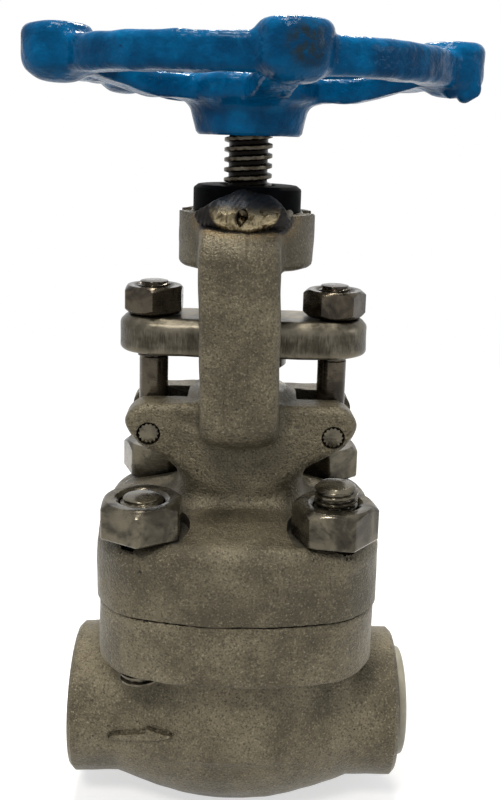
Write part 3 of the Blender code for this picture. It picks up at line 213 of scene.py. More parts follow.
# Handwheel
HUB_RADIUS = 11.8
HUB_TAPER = 0.25
HUB_FLARE_RADIUS = 16.3
HUB_STRAIGHT = 7.6
SPOKE_HALF = (4.0, 2.4)
SPOKE_BEND = 23.7
RIM_RADIUS = 41.5
RIM_HALF = (4.2, 3.6)
RIM_ABOVE_HUB_BOTTOM = 15.1
HUB_FILLET = 2.6
SPOKE_FILLET = 1.3
RIM_FILLET = 1.4
LOBE_FILLET = 1.5
LOBES = 5
FIRST_LOBE = math.radians(-79.7)
LOBE_RADIUS = 44.25
LOBE_HALF_WIDTH = 7.25
LOBE_HALF_HEIGHT = 5.9
LOBE_ROUND = 2.2
BOWL_RADIUS = 8.3
BOWL_HEIGHT = 8.0
BOWL_LIFT = 2.0
DRIVE_SQUARE = 8.6

# Tack weld
WELD_MIDDLE = (-0.4, -14.4, BOSS_TOP - 0.2)
WELD_HALF = (10.2, 4.5, 4.4)
WELD_CREST = (0.4, -12.4, BOSS_TOP + 2.2)
WELD_CREST_HALF = (5.0, 2.4, 3.6)
WELD_CRATER = (-1.2, -18.6, BOSS_TOP + 0.1)
WELD_SPATTER = (9.2, -14.6, BOSS_TOP + 1.0)

# Mesh fineness
FORGED_CELL = 0.55
WHEEL_CELL = 0.6
SMALL_CELL = 0.35
SKIN_MARGIN = 2.0
PROBE = 0.02
FIRMNESS = 0.05
ROUND_STEPS = 72
SMALL_STEPS = 48


# Distance fields: each is below zero inside a shape and grows outwards, in millimetres


def both(a, b, radius=0.0):
    """What two shapes share, with the edge where their faces meet rounded."""
    if radius == 0.0:
        return np.maximum(a, b)
    corner = np.hypot(np.maximum(a + radius, 0.0), np.maximum(b + radius, 0.0))
    return np.minimum(np.maximum(a, b), -radius) + corner


def join(a, b, radius=0.0):
    """Two shapes made one, with a fillet where their faces meet."""
    return -both(-a, -b, radius)


def cut(a, b, radius=0.0):
    """The first shape without the second."""
    return both(a, -b, radius)


def slab(value, low, high):
    """What lies between two levels."""
    return np.maximum(low - value, value - high)


def rectangle(u, v, half_u, half_v, radius):
    """A flat rectangle with round corners."""
    return both(np.abs(u) - half_u, np.abs(v) - half_v, radius)


def ball(x, y, z, middle, half):
    """An ellipsoid, by its middle and its three half sizes."""
    away = np.sqrt(
        ((x - middle[0]) / half[0]) ** 2
        + ((y - middle[1]) / half[1]) ** 2
        + ((z - middle[2]) / half[2]) ** 2)
    return (away - 1.0) * min(half)


def drilling(x, y, z, start, end, radius):
    """A drilled hole from one point to another."""
    way = np.subtract(end, start)
    length = float(np.linalg.norm(way))
    way = way / length
    along = (x - start[0]) * way[0] + (y - start[1]) * way[1] + (z - start[2]) * way[2]
    square = (x - start[0]) ** 2 + (y - start[1]) ** 2 + (z - start[2]) ** 2 - along ** 2
    return np.maximum(np.sqrt(np.maximum(square, 0.0)) - radius, slab(along, 0.0, length))


def bored(x, y, z, steps):
    """A stepped round hole about Z, as steps of radius, bottom and top."""
    away = np.hypot(x, y)
    shape = None
    for radius, low, high in steps:
        step = np.maximum(away - radius, slab(z, low, high))
        shape = step if shape is None else np.minimum(shape, step)
    return shape


def polygon(u, v, points):
    """A flat outline with straight sides, given clockwise or counter-clockwise."""
    closest = None
    side = 1.0
    for (u0, v0), (u1, v1) in zip(points, points[1:] + points[:1]):
        edge_u, edge_v = u1 - u0, v1 - v0
        away_u, away_v = u - u0, v - v0
        share = np.clip((away_u * edge_u + away_v * edge_v) / (edge_u ** 2 + edge_v ** 2), 0.0, 1.0)
        square = (away_u - share * edge_u) ** 2 + (away_v - share * edge_v) ** 2
        closest = square if closest is None else np.minimum(closest, square)
        above = v >= v0
        below = v < v1
        left = edge_u * away_v > edge_v * away_u
        crossed = (above & below & left) | (~above & ~below & ~left)
        side = np.where(crossed, -side, side)
    return side * np.sqrt(closest)


def lumps(x, y, z, size, seed):
    """Uneven swells, from about -1 to 1, with humps and hollows of this size."""
    total = 0.0
    for turn in range(5):
        lean = seed + 2.399 * turn
        level = (turn - 2) * 0.38
        flat = math.sqrt(1.0 - level ** 2)
        wave = (x * math.cos(lean) * flat + y * math.sin(lean) * flat + z * level) * math.pi / size
        total = total + np.sin(wave + 1.7 * lean) * 0.45
    return total


def bowed_square(x, y, half):
    """The flanges' plan: four sides that bow out a little, and round corners."""
    front = np.hypot(x, np.abs(y) + FRONT_BOW - half[1]) - FRONT_BOW
    side = np.hypot(np.abs(x) + SIDE_BOW - half[0], y) - SIDE_BOW
    return both(front, side, FLANGE_CORNER)


def stud_bores(x, y, z, radius, low, high):
    """Four round holes on the square of the studs."""
    away = np.hypot(np.abs(x) - STUD_OFFSET, np.abs(y) - STUD_OFFSET)
    return np.maximum(away - radius, slab(z, low, high))


# Turning a field into a mesh


def slopes(field, points):
    """The unit direction in which a field grows, at each point."""
    x, y, z = points.T
    rise = np.stack([
        field(x + PROBE, y, z) - field(x - PROBE, y, z),
        field(x, y + PROBE, z) - field(x, y - PROBE, z),
        field(x, y, z + PROBE) - field(x, y, z - PROBE),
    ], axis=1)
    return rise / np.maximum(np.linalg.norm(rise, axis=1, keepdims=True), 1e-9)


def skin(field, low, high, cell):
    """The points and faces of the surface where a field is zero, with its edges kept crisp."""
    low = np.array(low, dtype=float)
    counts = np.ceil((np.array(high) - low) / cell).astype(int) + 1
    x, y, z = [low[i] + cell * np.arange(counts[i]) for i in range(3)]
    values = field(x[:, None, None], y[None, :, None], z[None, None, :])
    for axis in range(3):
        ends = np.moveaxis(values, axis, 0)
        ends[0] = np.maximum(ends[0], cell / 2)
        ends[-1] = np.maximum(ends[-1], cell / 2)
    inside = values < 0.0
    some = np.zeros(counts - 1, dtype=bool)
    every = np.ones(counts - 1, dtype=bool)
    for corner in itertools.product((0, 1), repeat=3):
        part = inside[tuple(slice(c, c + n) for c, n in zip(corner, counts - 1))]
        some |= part
        every &= part
    mixed = some & ~every
    total = int(mixed.sum())
    number = np.full(counts - 1, -1)
    number[mixed] = np.arange(total)
    sums = np.zeros((total, 16))
    faces = []
    for axis in range(3):
        first = np.take(inside, range(counts[axis] - 1), axis=axis)
        second = np.take(inside, range(1, counts[axis]), axis=axis)
        where = np.argwhere(first != second)
        ahead = where.copy()
        ahead[:, axis] += 1
        start = values[tuple(where.T)]
        end = values[tuple(ahead.T)]
        points = low + cell * where
        points[:, axis] += cell * start / (start - end)
        normals = slopes(field, points)
        level = np.sum(normals * points, axis=1, keepdims=True)
        spread = normals[:, :, None] * normals[:, None, :]
        facts = np.concatenate(
            [np.ones_like(level), points, spread.reshape(-1, 9), normals * level], axis=1)
        around = []
        for back_u, back_v in ((1, 1), (0, 1), (0, 0), (1, 0)):
            cells = where.copy()
            cells[:, (axis + 1) % 3] -= back_u
            cells[:, (axis + 2) % 3] -= back_v
            owner = number[tuple(cells.T)]
            around.append(owner)
            for column in range(16):
                sums[:, column] += np.bincount(owner, facts[:, column], total)
        quads = np.stack(around, axis=1)
        backwards = start >= 0.0
        quads[backwards] = quads[backwards][:, ::-1]
        faces.append(quads)
    middle = sums[:, 1:4] / sums[:, :1]
    spread = sums[:, 4:13].reshape(-1, 3, 3)
    pull = sums[:, 13:16] - np.einsum("nij,nj->ni", spread, middle)
    firm = spread + FIRMNESS * np.eye(3)
    points = middle + np.linalg.solve(firm, pull[:, :, None])[:, :, 0]
    corner = low + cell * np.argwhere(mixed)
    points = np.clip(points, corner, corner + cell)
    return points, np.concatenate(faces)


# Turned and lofted shapes


def ring(radius, height, steps):
    """One ring of points. The radius may differ from point to point."""
    angles = 2 * math.pi * np.arange(steps) / steps
    radius = np.broadcast_to(radius, angles.shape)
    height = np.broadcast_to(height, angles.shape)
    return np.stack([radius * np.cos(angles), radius * np.sin(angles), height], axis=1)


def rings_of(pairs, steps=SMALL_STEPS):
    """Rings from radius and height pairs."""
    return [ring(radius, height, steps) for radius, height in pairs]


def lofted(rings, hollow=False):
    """Join rings into one closed skin. They go up the outside and, if hollow, down the bore."""
    rings = np.array(rings)
    count, steps = rings.shape[:2]
    index = np.arange(count * steps).reshape(count, steps)
    rows = np.vstack([index, index[:1]]) if hollow else index
    beside = np.roll(rows, -1, axis=1)
    quads = np.stack([rows[:-1], beside[:-1], beside[1:], rows[1:]], axis=-1).reshape(-1, 4)
    faces = quads.tolist()
    if not hollow:
        faces.append(index[0][::-1].tolist())
        faces.append(index[-1].tolist())
    return rings.reshape(-1, 3), faces


def turned(profile, steps=ROUND_STEPS, hollow=False):
    """A turned shape from radius and height pairs, up the outside and, if hollow, down the bore."""
    return lofted(rings_of(profile, steps), hollow)


def moved(shape, by):
    """The shape, shifted."""
    points, faces = shape
    return points + np.array(by), faces


def laid_along(shape, axis):
    """Turn a shape made about Z so that it lies along X or Y."""
    points, faces = shape
    x, y, z = points.T
    if axis == "X":
        return np.stack([z, x, y], axis=1), faces
    return np.stack([x, -z, y], axis=1), faces


def thread_radius(height, angles, outside, root, pitch):
    """The radius of a right-hand thread at one height, at each angle."""
    phase = height / pitch - angles / (2 * math.pi)
    away = np.abs((phase + 0.5) % 1.0 - 0.5) * 2
    share = np.clip((0.66 - away) / 0.34, 0.0, 1.0)
    return root + (outside - root) * share * share * (3 - 2 * share)


def threaded(low, high, thread, chamfer=0.0, slices=12, steps=SMALL_STEPS):
    """The rings of a threaded length, with its end chamfered."""
    outside, root, pitch = thread
    angles = 2 * math.pi * np.arange(steps) / steps
    count = max(2, int((high - low) / pitch * slices))
    rings = []
    for i in range(count + 1):
        height = low + (high - low) * i / count
        radius = thread_radius(height, angles, outside, root, pitch)
        if chamfer:
            radius = np.minimum(radius, outside - chamfer + (high - height))
        rings.append(ring(radius, height, steps))
    return rings


def nut(across, bottom, top, bore, turn, under_chamfer, steps=192):
    """A hexagon nut: flat sides, a chamfered crown, a countersink and a bore."""
    angles = 2 * math.pi * np.arange(steps) / steps
    lean = (angles - math.radians(turn)) % (math.pi / 3) - math.pi / 6
    side = np.minimum(across / 2 / np.cos(lean), across * NUT_CORNER_SHARE)
    crown = across / 2 * NUT_CROWN_SHARE
    drop = np.maximum(side - crown, 0.0) * NUT_CROWN_SLOPE
    shoulder = np.maximum(side - NUT_WEAR - crown, 0.0) * NUT_CROWN_SLOPE
    rise = drop if under_chamfer else np.full(steps, NUT_WEAR)
    rise_in = shoulder if under_chamfer else np.zeros(steps)
    return lofted(rings_of([
        (crown if under_chamfer else side - 2 * NUT_WEAR, bottom),
        (side - NUT_WEAR, bottom + rise_in),
        (side, bottom + rise + NUT_WEAR * 0.6),
        (side, bottom + rise + 2 * NUT_WEAR),
        (side, top - drop - 2 * NUT_WEAR),
        (side, top - drop - NUT_WEAR * 0.6),
        (side - NUT_WEAR, top - shoulder),
        (crown, top), (bore + 1.0, top), (bore + 0.8, top - 0.08), (bore, top - 0.75),
        (bore, bottom + 0.3), (bore + 0.3, bottom),
    ], steps), hollow=True)


# Making pieces


def add_piece(name, shape, body, nodes, shades, sharp=32, chooser=None):
    """Add a piece that rides on a body and stands for CAD nodes. The chooser picks its shades."""
    points, faces = shape
    mesh = bpy.data.meshes.new(name)
    mesh.from_pydata((points * MM).tolist(), [], np.asarray(faces).tolist() if chooser else list(faces))
    mesh.validate()
    mesh.shade_smooth()
    mesh.set_sharp_from_angle(angle=math.radians(sharp))
    for shade in shades:
        mesh.materials.append(shade)
    if chooser:
        count = len(mesh.polygons)
        middles = np.empty(count * 3)
        facing = np.empty(count * 3)
        mesh.polygons.foreach_get("center", middles)
        mesh.polygons.foreach_get("normal", facing)
        chosen = chooser(middles.reshape(-1, 3) / MM, facing.reshape(-1, 3))
        mesh.polygons.foreach_set("material_index", chosen.astype(int))
    made = bpy.data.objects.new(name, mesh)
    bpy.context.scene.collection.objects.link(made)
    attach(made, body)
    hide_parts(*nodes)
    return made


# Materials


def add_node(kind, inputs=None, tree=None, **settings):
    """Add a shader node. Each input is a value, or the output that feeds it, which tells the tree."""
    if tree is None:
        tree = next(
            value.id_data for value in inputs.values() if isinstance(value, bpy.types.NodeSocket))
    made = tree.nodes.new(kind)
    for key, value in settings.items():
        setattr(made, key, value)
    for key, value in (inputs or {}).items():
        if isinstance(value, bpy.types.NodeSocket):
            tree.links.new(value, made.inputs[key])
        else:
            made.inputs[key].default_value = value
    return made


def new_material(name):
    """A material, and where a point is on its piece, in millimetres."""
    shade = bpy.data.materials.new(name)
    shade.use_nodes = True
    place = add_node("ShaderNodeTexCoord", tree=shade.node_tree).outputs["Object"]
    scaled = add_node("ShaderNodeVectorMath", {0: place, "Scale": 1.0 / MM}, operation="SCALE")
    return shade, scaled.outputs["Vector"]


def wire_up(shade, colour, roughness, layers, constants):
    """Feed a material's shader: its colour, roughness, bump layers, and constants by socket."""
    tree = shade.node_tree
    shader = tree.nodes["Principled BSDF"]
    tree.links.new(colour, shader.inputs["Base Color"])
    tree.links.new(roughness, shader.inputs["Roughness"])
    tree.links.new(bumps(layers), shader.inputs["Normal"])
    for socket, value in constants.items():
        shader.inputs[socket].default_value = value


def noise(place, size, detail=2.0, roughness=0.5, stretch=None, distortion=0.0):
    """Soft noise with features of about this size, in millimetres."""
    if stretch:
        mapped = add_node("ShaderNodeMapping", {"Vector": place, "Scale": stretch})
        place = mapped.outputs["Vector"]
    made = add_node("ShaderNodeTexNoise", {
        "Vector": place, "Scale": 1.0 / size, "Detail": detail, "Roughness": roughness,
        "Distortion": distortion,
    })
    return made.outputs["Fac"]


def ramp(value, low, high, out_low=0.0, out_high=1.0):
    """Take a value from one range to another, and stop at its ends."""
    made = add_node("ShaderNodeMapRange", {
        "Value": value, "From Min": low, "From Max": high, "To Min": out_low, "To Max": out_high,
    }, interpolation_type="SMOOTHSTEP")
    return made.outputs["Result"]


def blend(share, first, second):
    """From the first colour at a share of zero to the second colour at one."""
    first, second = [
        (*value, 1.0) if isinstance(value, tuple) else value for value in (first, second)]
    made = add_node("ShaderNodeMix", {0: share, 6: first, 7: second}, data_type="RGBA")
    return made.outputs[2]


def reckon(operation, first, second=0.0):
    """One step of arithmetic. At least one of the values comes from another node."""
    made = add_node("ShaderNodeMath", {0: first, 1: second}, operation=operation)
    return made.outputs["Value"]


def times(first, second):
    return reckon("MULTIPLY", first, second)


def plus(first, second):
    return reckon("ADD", first, second)


def bumps(layers):
    """Stack bump layers of height and depth, in millimetres."""
    normal = None
    for height, depth in layers:
        inputs = {"Height": height, "Distance": depth * MM, "Strength": 1.0}
        if normal is not None:
            inputs["Normal"] = normal
        normal = add_node("ShaderNodeBump", inputs).outputs["Normal"]
    return normal


def parts_of(place):
    """The X, Y and Z of a vector."""
    made = add_node("ShaderNodeSeparateXYZ", {"Vector": place})
    return made.outputs["X"], made.outputs["Y"], made.outputs["Z"]


def length_of(vector):
    made = add_node("ShaderNodeVectorMath", {0: vector}, operation="LENGTH")
    return made.outputs["Value"]


def nearness(place, point, inner, outer):
    """One at a point, and zero past the outer distance from it."""
    away = add_node("ShaderNodeVectorMath", {0: place, 1: point}, operation="DISTANCE")
    return ramp(away.outputs["Value"], inner, outer, 1.0, 0.0)


def forged_shade(name, strength=1.0, with_heat=False):
    """Shot-blasted forged stainless steel: warm grey, grainy, with dark pits, soft stains and painted
    shade in its corners.
    """
    shade, place = new_material(name)
    clouds = noise(place, 16.0, 3.0, 0.6)
    mottle = noise(place, 2.2, 4.0, 0.65)
    grain = noise(place, 0.45, 2.0, 0.6)
    coarse = noise(place, 1.1, 2.0, 0.5)
    tone = plus(times(clouds, 0.72), times(mottle, 0.28))
    low, high, pale = [tuple(strength * value for value in shade_colour) for shade_colour in (
        (0.085, 0.071, 0.043), (0.220, 0.189, 0.122), (0.52, 0.46, 0.32))]
    colour = blend(ramp(tone, 0.34, 0.66), low, high)
    colour = blend(ramp(grain, 0.50, 0.32, 0.0, 0.8), colour, (0.040, 0.032, 0.021))
    colour = blend(ramp(grain, 0.56, 0.74, 0.0, 0.45), colour, pale)
    stain = ramp(noise(place, 6.5, 4.0, 0.65, distortion=0.6), 0.60, 0.78)
    colour = blend(times(stain, 0.35), colour, (0.06, 0.044, 0.028))
    pits = ramp(noise(place, 2.1, 2.0, 0.7), 0.70, 0.755)
    colour = blend(times(pits, 0.9), colour, (0.018, 0.014, 0.01))
    # Painted shade in the forging's corners and under its flanges.
    colour = painted_shade_in_corners(colour, 7.0, 0.75)
    if with_heat:
        colour = heat_tint(place, colour)
    rough = plus(ramp(mottle, 0.3, 0.7, 0.34, 0.46), times(pits, 0.2))
    layers = [(clouds, 0.3), (coarse, 0.24), (grain, 0.30), (pits, -0.12)]
    wire_up(shade, colour, rough, layers, {"Metallic": 0.35, "Specular IOR Level": 0.3})
    return shade


def painted_shade_in_corners(colour, reach, share):
    """Painted shade in the corners where faces meet and under overhangs, from ambient occlusion within a
    reach in millimetres.
    """
    shelter = add_node(
        "ShaderNodeAmbientOcclusion", {"Distance": reach * MM}, colour.id_data, samples=4)
    # Painted shade: the colour turns near black where ambient occlusion finds faces close by.
    dirt_and_painted_shade = ramp(shelter.outputs["AO"], 0.25, 0.85, share, 0.0)
    return blend(dirt_and_painted_shade, colour, (0.022, 0.018, 0.013))


def heat_tint(place, colour):
    """A black line and a straw-coloured tint around the tack weld on the boss."""
    flecks = noise(place, 2.4, 3.0, 0.6)
    from_weld = add_node("ShaderNodeVectorMath", {0: place, 1: WELD_MIDDLE}, operation="SUBTRACT")
    share = add_node(
        "ShaderNodeVectorMath", {0: from_weld.outputs[0], 1: WELD_HALF}, operation="DIVIDE")
    away = length_of(share.outputs[0])
    straw = times(ramp(away, 1.15, 1.7, 1.0, 0.0), ramp(flecks, 0.3, 0.6))
    colour = blend(times(straw, 0.45), colour, (0.23, 0.15, 0.06))
    return blend(ramp(away, 1.08, 1.22, 1.0, 0.0), colour, (0.012, 0.010, 0.009))


def machined_shade(name, colour_low, colour_high, roughness, grime=0.5, metallic=0.7):
    """Machined steel: satin, finely scratched, with smudges and grime that gather in patches, and painted
    shade in its corners.
    """
    shade, place = new_material(name)
    clouds = noise(place, 7.0, 3.0, 0.55, distortion=0.8)
    scratches = noise(place, 0.5, 3.0, 0.7, stretch=(0.3, 0.3, 1.8))
    dirt_and_painted_shade = ramp(noise(place, 2.8, 4.0, 0.7, distortion=0.4), 0.50, 0.72)
    colour = blend(ramp(clouds, 0.34, 0.64), colour_low, colour_high)
    dark = tuple(0.2 * value for value in colour_low)
    colour = blend(times(dirt_and_painted_shade, grime), colour, dark)
    # Painted shade in tight corners, such as around the studs and nuts.
    colour = painted_shade_in_corners(colour, 2.5, 0.65)
    rough = ramp(scratches, 0.3, 0.7, roughness - 0.08, roughness + 0.12)
    rough = plus(rough, times(dirt_and_painted_shade, 0.2))
    wire_up(shade, colour, rough, [(clouds, 0.08), (scratches, 0.02)], {"Metallic": metallic})
    return shade


def sheared_shade(name):
    """The gland flange: dark steel with upright tear marks on its edge, a bright bevel and painted shade
    in its corners.
    """
    shade, place = new_material(name)
    _, _, height = parts_of(place)
    facing = add_node("ShaderNodeNewGeometry", tree=shade.node_tree).outputs["Normal"]
    _, _, up = parts_of(facing)
    tears = noise(place, 0.5, 4.0, 0.7, stretch=(1.0, 1.0, 0.14))
    clouds = noise(place, 4.5, 3.0, 0.6)
    side = ramp(reckon("ABSOLUTE", up), 0.25, 0.55, 1.0, 0.0)
    middle = (GLAND_FLANGE_BOTTOM + GLAND_FLANGE_TOP) / 2
    away = reckon("ABSOLUTE", reckon("SUBTRACT", height, middle - 0.7))
    band = times(side, ramp(away, 1.6, 3.0, 1.0, 0.0))
    colour = blend(ramp(clouds, 0.3, 0.7), (0.06, 0.052, 0.037), (0.155, 0.138, 0.105))
    torn = times(band, ramp(tears, 0.32, 0.68, 0.0, 0.6))
    colour = blend(torn, colour, (0.014, 0.012, 0.009))
    # Painted shade in the plate's corners.
    colour = painted_shade_in_corners(colour, 4.0, 0.85)
    layers = [(clouds, 0.2), (noise(place, 0.7), 0.05), (times(tears, band), 0.22)]
    rough = ramp(clouds, 0.3, 0.7, 0.28, 0.44)
    wire_up(shade, colour, rough, layers, {"Metallic": 0.95})
    return shade


def stem_shade(name):
    """Oiled stainless steel, with painted shade in the roots of the thread."""
    shade, place = new_material(name)
    x, y, _ = parts_of(place)
    away = reckon("SQRT", plus(times(x, x), times(y, y)))
    crest = ramp(away, STEM_ROOT_RADIUS + 0.3, STEM_RADIUS - 0.05)
    patches = noise(place, 2.2, 3.0, 0.6)
    share = ramp(patches, 0.35, 0.65)
    light = blend(share, (0.032, 0.024, 0.015), (0.095, 0.084, 0.064))
    # Painted shade: the thread's roots are near black, while the crests keep the steel's colour.
    colour = blend(crest, (0.005, 0.004, 0.003), light)
    rough = ramp(patches, 0.3, 0.7, 0.22, 0.42)
    wire_up(shade, colour, rough, [(patches, 0.06)], {"Metallic": 0.95})
    return shade


def black_shade(name):
    """Black oxide steel, rubbed grey here and there."""
    shade, place = new_material(name)
    rubs = ramp(noise(place, 1.3, 4.0, 0.75), 0.62, 0.78)
    clouds = noise(place, 4.0, 2.0, 0.5)
    patches = ramp(clouds, 0.3, 0.7)
    colour = blend(patches, (0.0015, 0.0016, 0.002), (0.004, 0.0045, 0.005))
    colour = blend(times(rubs, 0.35), colour, (0.03, 0.028, 0.024))
    rough = ramp(clouds, 0.3, 0.7, 0.4, 0.55)
    wire_up(shade, colour, rough, [(noise(place, 0.6), 0.02)], {"Specular IOR Level": 0.01})
    return shade


def weld_shade(name):
    """Weld metal: bright and straw-coloured, blue towards the nut, black at its edge."""
    shade, place = new_material(name)
    x, _, z = parts_of(place)
    flecks = noise(place, 1.5, 3.0, 0.65, distortion=0.5)
    colour = blend(ramp(flecks, 0.35, 0.65), (0.05, 0.036, 0.018), (0.30, 0.25, 0.155))
    upper = plus(z, times(flecks, 5.0))
    blue = ramp(upper, BOSS_TOP + 2.4, BOSS_TOP + 5.4)
    colour = blend(times(blue, 0.95), colour, (0.006, 0.010, 0.017))
    flattened = add_node("ShaderNodeCombineXYZ", {"X": x, "Z": z}).outputs["Vector"]
    middle = nearness(flattened, (WELD_MIDDLE[0], 0.0, BOSS_TOP + 3.6), 6.8, 8.8)
    edge = reckon("SUBTRACT", 1.0, middle)
    edge = plus(edge, times(reckon("SUBTRACT", flecks, 0.5), 0.8))
    colour = blend(ramp(edge, 0.35, 0.75), colour, (0.018, 0.016, 0.015))
    spatter = nearness(place, WELD_SPATTER, 1.0, 1.4)
    colour = blend(spatter, colour, (0.14, 0.13, 0.11))
    crater = nearness(place, WELD_CRATER, 1.0, 1.9)
    colour = blend(crater, colour, (0.008, 0.007, 0.006))
    rough = plus(ramp(edge, 0.3, 0.9, 0.20, 0.55), times(blue, 0.3))
    layers = [(flecks, 0.12), (noise(place, 0.7), 0.04)]
    wire_up(shade, colour, rough, layers, {"Metallic": 0.95})
    return shade


def blue_shade(name):
    """Thick glossy blue paint on a rough casting, with dark specks, chips and a rust stain, and painted
    shade under its rim and spokes.
    """
    shade, place = new_material(name)
    clouds = noise(place, 9.0, 3.0, 0.6)
    mottle = noise(place, 1.8, 4.0, 0.65)
    specks = ramp(noise(place, 1.1, 2.0, 0.7), 0.72, 0.77)
    colour = blend(ramp(clouds, 0.35, 0.7), (0.0, 0.050, 0.138), (0.0, 0.105, 0.265))
    colour = blend(ramp(mottle, 0.55, 0.8, 0.0, 0.5), colour, (0.0, 0.028, 0.068))
    thick = ramp(noise(place, 4.6, 3.0, 0.6, distortion=0.8), 0.58, 0.72)
    colour = blend(times(thick, 0.4), colour, (0.0, 0.145, 0.32))
    reach = LOBE_RADIUS + LOBE_HALF_WIDTH
    rust_place = (
        reach * math.cos(FIRST_LOBE) + 1.0, reach * math.sin(FIRST_LOBE), RIM_MIDDLE + 1.0)
    rust = nearness(place, rust_place, 1.8, 5.6)
    rust = times(rust, ramp(mottle, 0.34, 0.60))
    colour = blend(times(rust, 0.85), colour, (0.022, 0.030, 0.024))
    colour = blend(times(specks, 0.8), colour, (0.012, 0.018, 0.02))
    # Painted shade under the rim and spokes and around the hub.
    colour = painted_shade_in_corners(colour, 18.0, 0.6)
    dips = noise(place, 3.4, 3.0, 0.55)
    layers = [(dips, 0.5), (noise(place, 1.3), 0.14), (mottle, 0.08)]
    wire_up(shade, colour, ramp(mottle, 0.3, 0.8, 0.12, 0.3), layers, {
        "Specular IOR Level": 0.045, "Coat Weight": 0.03, "Coat IOR": 1.4, "Coat Roughness": 0.04})
    return shade


def plastic_shade(name):
    """Thin off-white polyethylene, a little see-through and smudged."""
    shade, place = new_material(name)
    clouds = noise(place, 5.0, 3.0, 0.6)
    smudge = ramp(noise(place, 2.0, 4.0, 0.7), 0.6, 0.78)
    colour = blend(ramp(clouds, 0.3, 0.7), (0.235, 0.22, 0.165), (0.31, 0.29, 0.225))
    colour = blend(times(smudge, 0.3), colour, (0.27, 0.24, 0.18))
    layers = [(clouds, 0.1), (noise(place, 0.8), 0.02)]
    wire_up(shade, colour, ramp(clouds, 0.3, 0.7, 0.36, 0.5), layers, {
        "Subsurface Weight": 0.15, "Subsurface Radius": (0.0015, 0.0014, 0.0012)})
    return shade


def graphite_shade(name):
    """Pressed graphite."""
    shade, place = new_material(name)
    flakes = noise(place, 0.5, 4.0, 0.7)
    colour = blend(ramp(flakes, 0.3, 0.7), (0.02, 0.02, 0.022), (0.06, 0.06, 0.065))
    rough = ramp(flakes, 0.3, 0.7, 0.4, 0.6)
    wire_up(shade, colour, rough, [(flakes, 0.03)], {"Metallic": 0.2})
    return shade


# Body and bonnet


def body_forging(x, y, z):
    """The body's outside as it leaves the die, with its raised flow arrow."""
    across = np.hypot(y, z - PORT_Z)
    along = np.abs(x)
    swell = np.cos(np.minimum(along / BELLY_HALF_LENGTH, 1.0) * math.pi / 2)
    run = across - END_RADIUS - (BELLY_RADIUS - END_RADIUS) * swell
    neck = both(np.hypot(x, y) - BODY_NECK_RADIUS, slab(z, PORT_Z, BODY_TOP))
    arrow = polygon(x, z - PORT_Z, ARROW)
    raised = both(run - ARROW_STAND, np.maximum(arrow, y), 0.2)
    under = BODY_TOP - BODY_FLANGE_THICKNESS
    flange = both(bowed_square(x, y, BODY_FLANGE_HALF), under - z, FLANGE_UNDER_ROUND)
    shape = join(join(run, neck, BODY_NECK_FILLET), flange, FLANGE_FILLET)
    outline = np.where(y < 0.0, arrow - ARROW_GROOVE, 10.0)
    shape = shape + ARROW_GROOVE * np.exp(-(outline / ARROW_GROOVE) ** 2)
    shape = join(shape, raised, 0.15)
    return shape + 0.10 * lumps(x, y, z, 7.0, 0.4) + 0.04 * lumps(x, y, z, 2.6, 1.3)


def body_field(x, y, z):
    """The finished body: the forging with its ends faced and its sockets, passages and holes."""
    across = np.hypot(y, z - PORT_Z)
    along = np.abs(x)
    shape = body_forging(x, y, z)
    shape = both(shape, z - BODY_TOP, FLANGE_TOP_ROUND)
    shape = both(shape, along - HALF_LENGTH)
    bevel = (across + along - END_RADIUS - HALF_LENGTH + END_CHAMFER) * math.sqrt(0.5)
    shape = both(both(shape, np.minimum(bevel, along - HALF_LENGTH + END_CHAMFER)), -z)
    floor = HALF_LENGTH - SOCKET_DEPTH
    shape = cut(shape, np.maximum(across - SOCKET_RADIUS, floor - along))
    lead_in = (across - SOCKET_RADIUS - 0.6 - along + HALF_LENGTH) * math.sqrt(0.5)
    shape = cut(shape, np.maximum(lead_in, HALF_LENGTH - 1.0 - along))
    side = floor + PASSAGE_SETBACK
    inlet = drilling(x, y, z, (-side, 0.0, PORT_Z), (0.0, 0.0, PORT_Z - INLET_DROP), PASSAGE_RADIUS)
    outlet = drilling(x, y, z, (side, 0.0, PORT_Z), (0.0, 0.0, PORT_Z + OUTLET_RISE), PASSAGE_RADIUS)
    chamber_floor = SEAT_TOP - SEAT_STAND
    hollow = bored(x, y, z, (
        (GASKET_RADIUS + GAP, GASKET_BOTTOM - GAP, BODY_TOP + 2.0),
        (CHAMBER_RADIUS, chamber_floor, GASKET_BOTTOM),
        (SEAT_POCKET_RADIUS, SEAT_BOTTOM - GAP, chamber_floor + 0.5),
        (PASSAGE_RADIUS, PORT_Z - INLET_WELL, SEAT_BOTTOM),
    ))
    shape = cut(shape, np.minimum(np.minimum(inlet, outlet), hollow))
    return cut(shape, stud_bores(x, y, z, TAPPED_RADIUS, STUD_BOTTOM - 2.0, BODY_TOP + 2.0))


def body_faces(middles, facing):
    """Machined steel on the end faces and in the bores, forged skin elsewhere."""
    x, y, z = middles.T
    ends = (np.abs(x) > HALF_LENGTH - 0.05) & (np.abs(facing[:, 0]) > 0.9)
    across = np.hypot(y, z - PORT_Z)
    sockets = (np.abs(x) > HALF_LENGTH - SOCKET_DEPTH - 0.3) & (across < SOCKET_RADIUS + 0.9)
    inside = np.hypot(x, y) < CHAMBER_RADIUS + 0.2
    top = z > BODY_TOP - 0.05
    return ends | sockets | (inside & (across < BELLY_RADIUS - 2.0)) | top


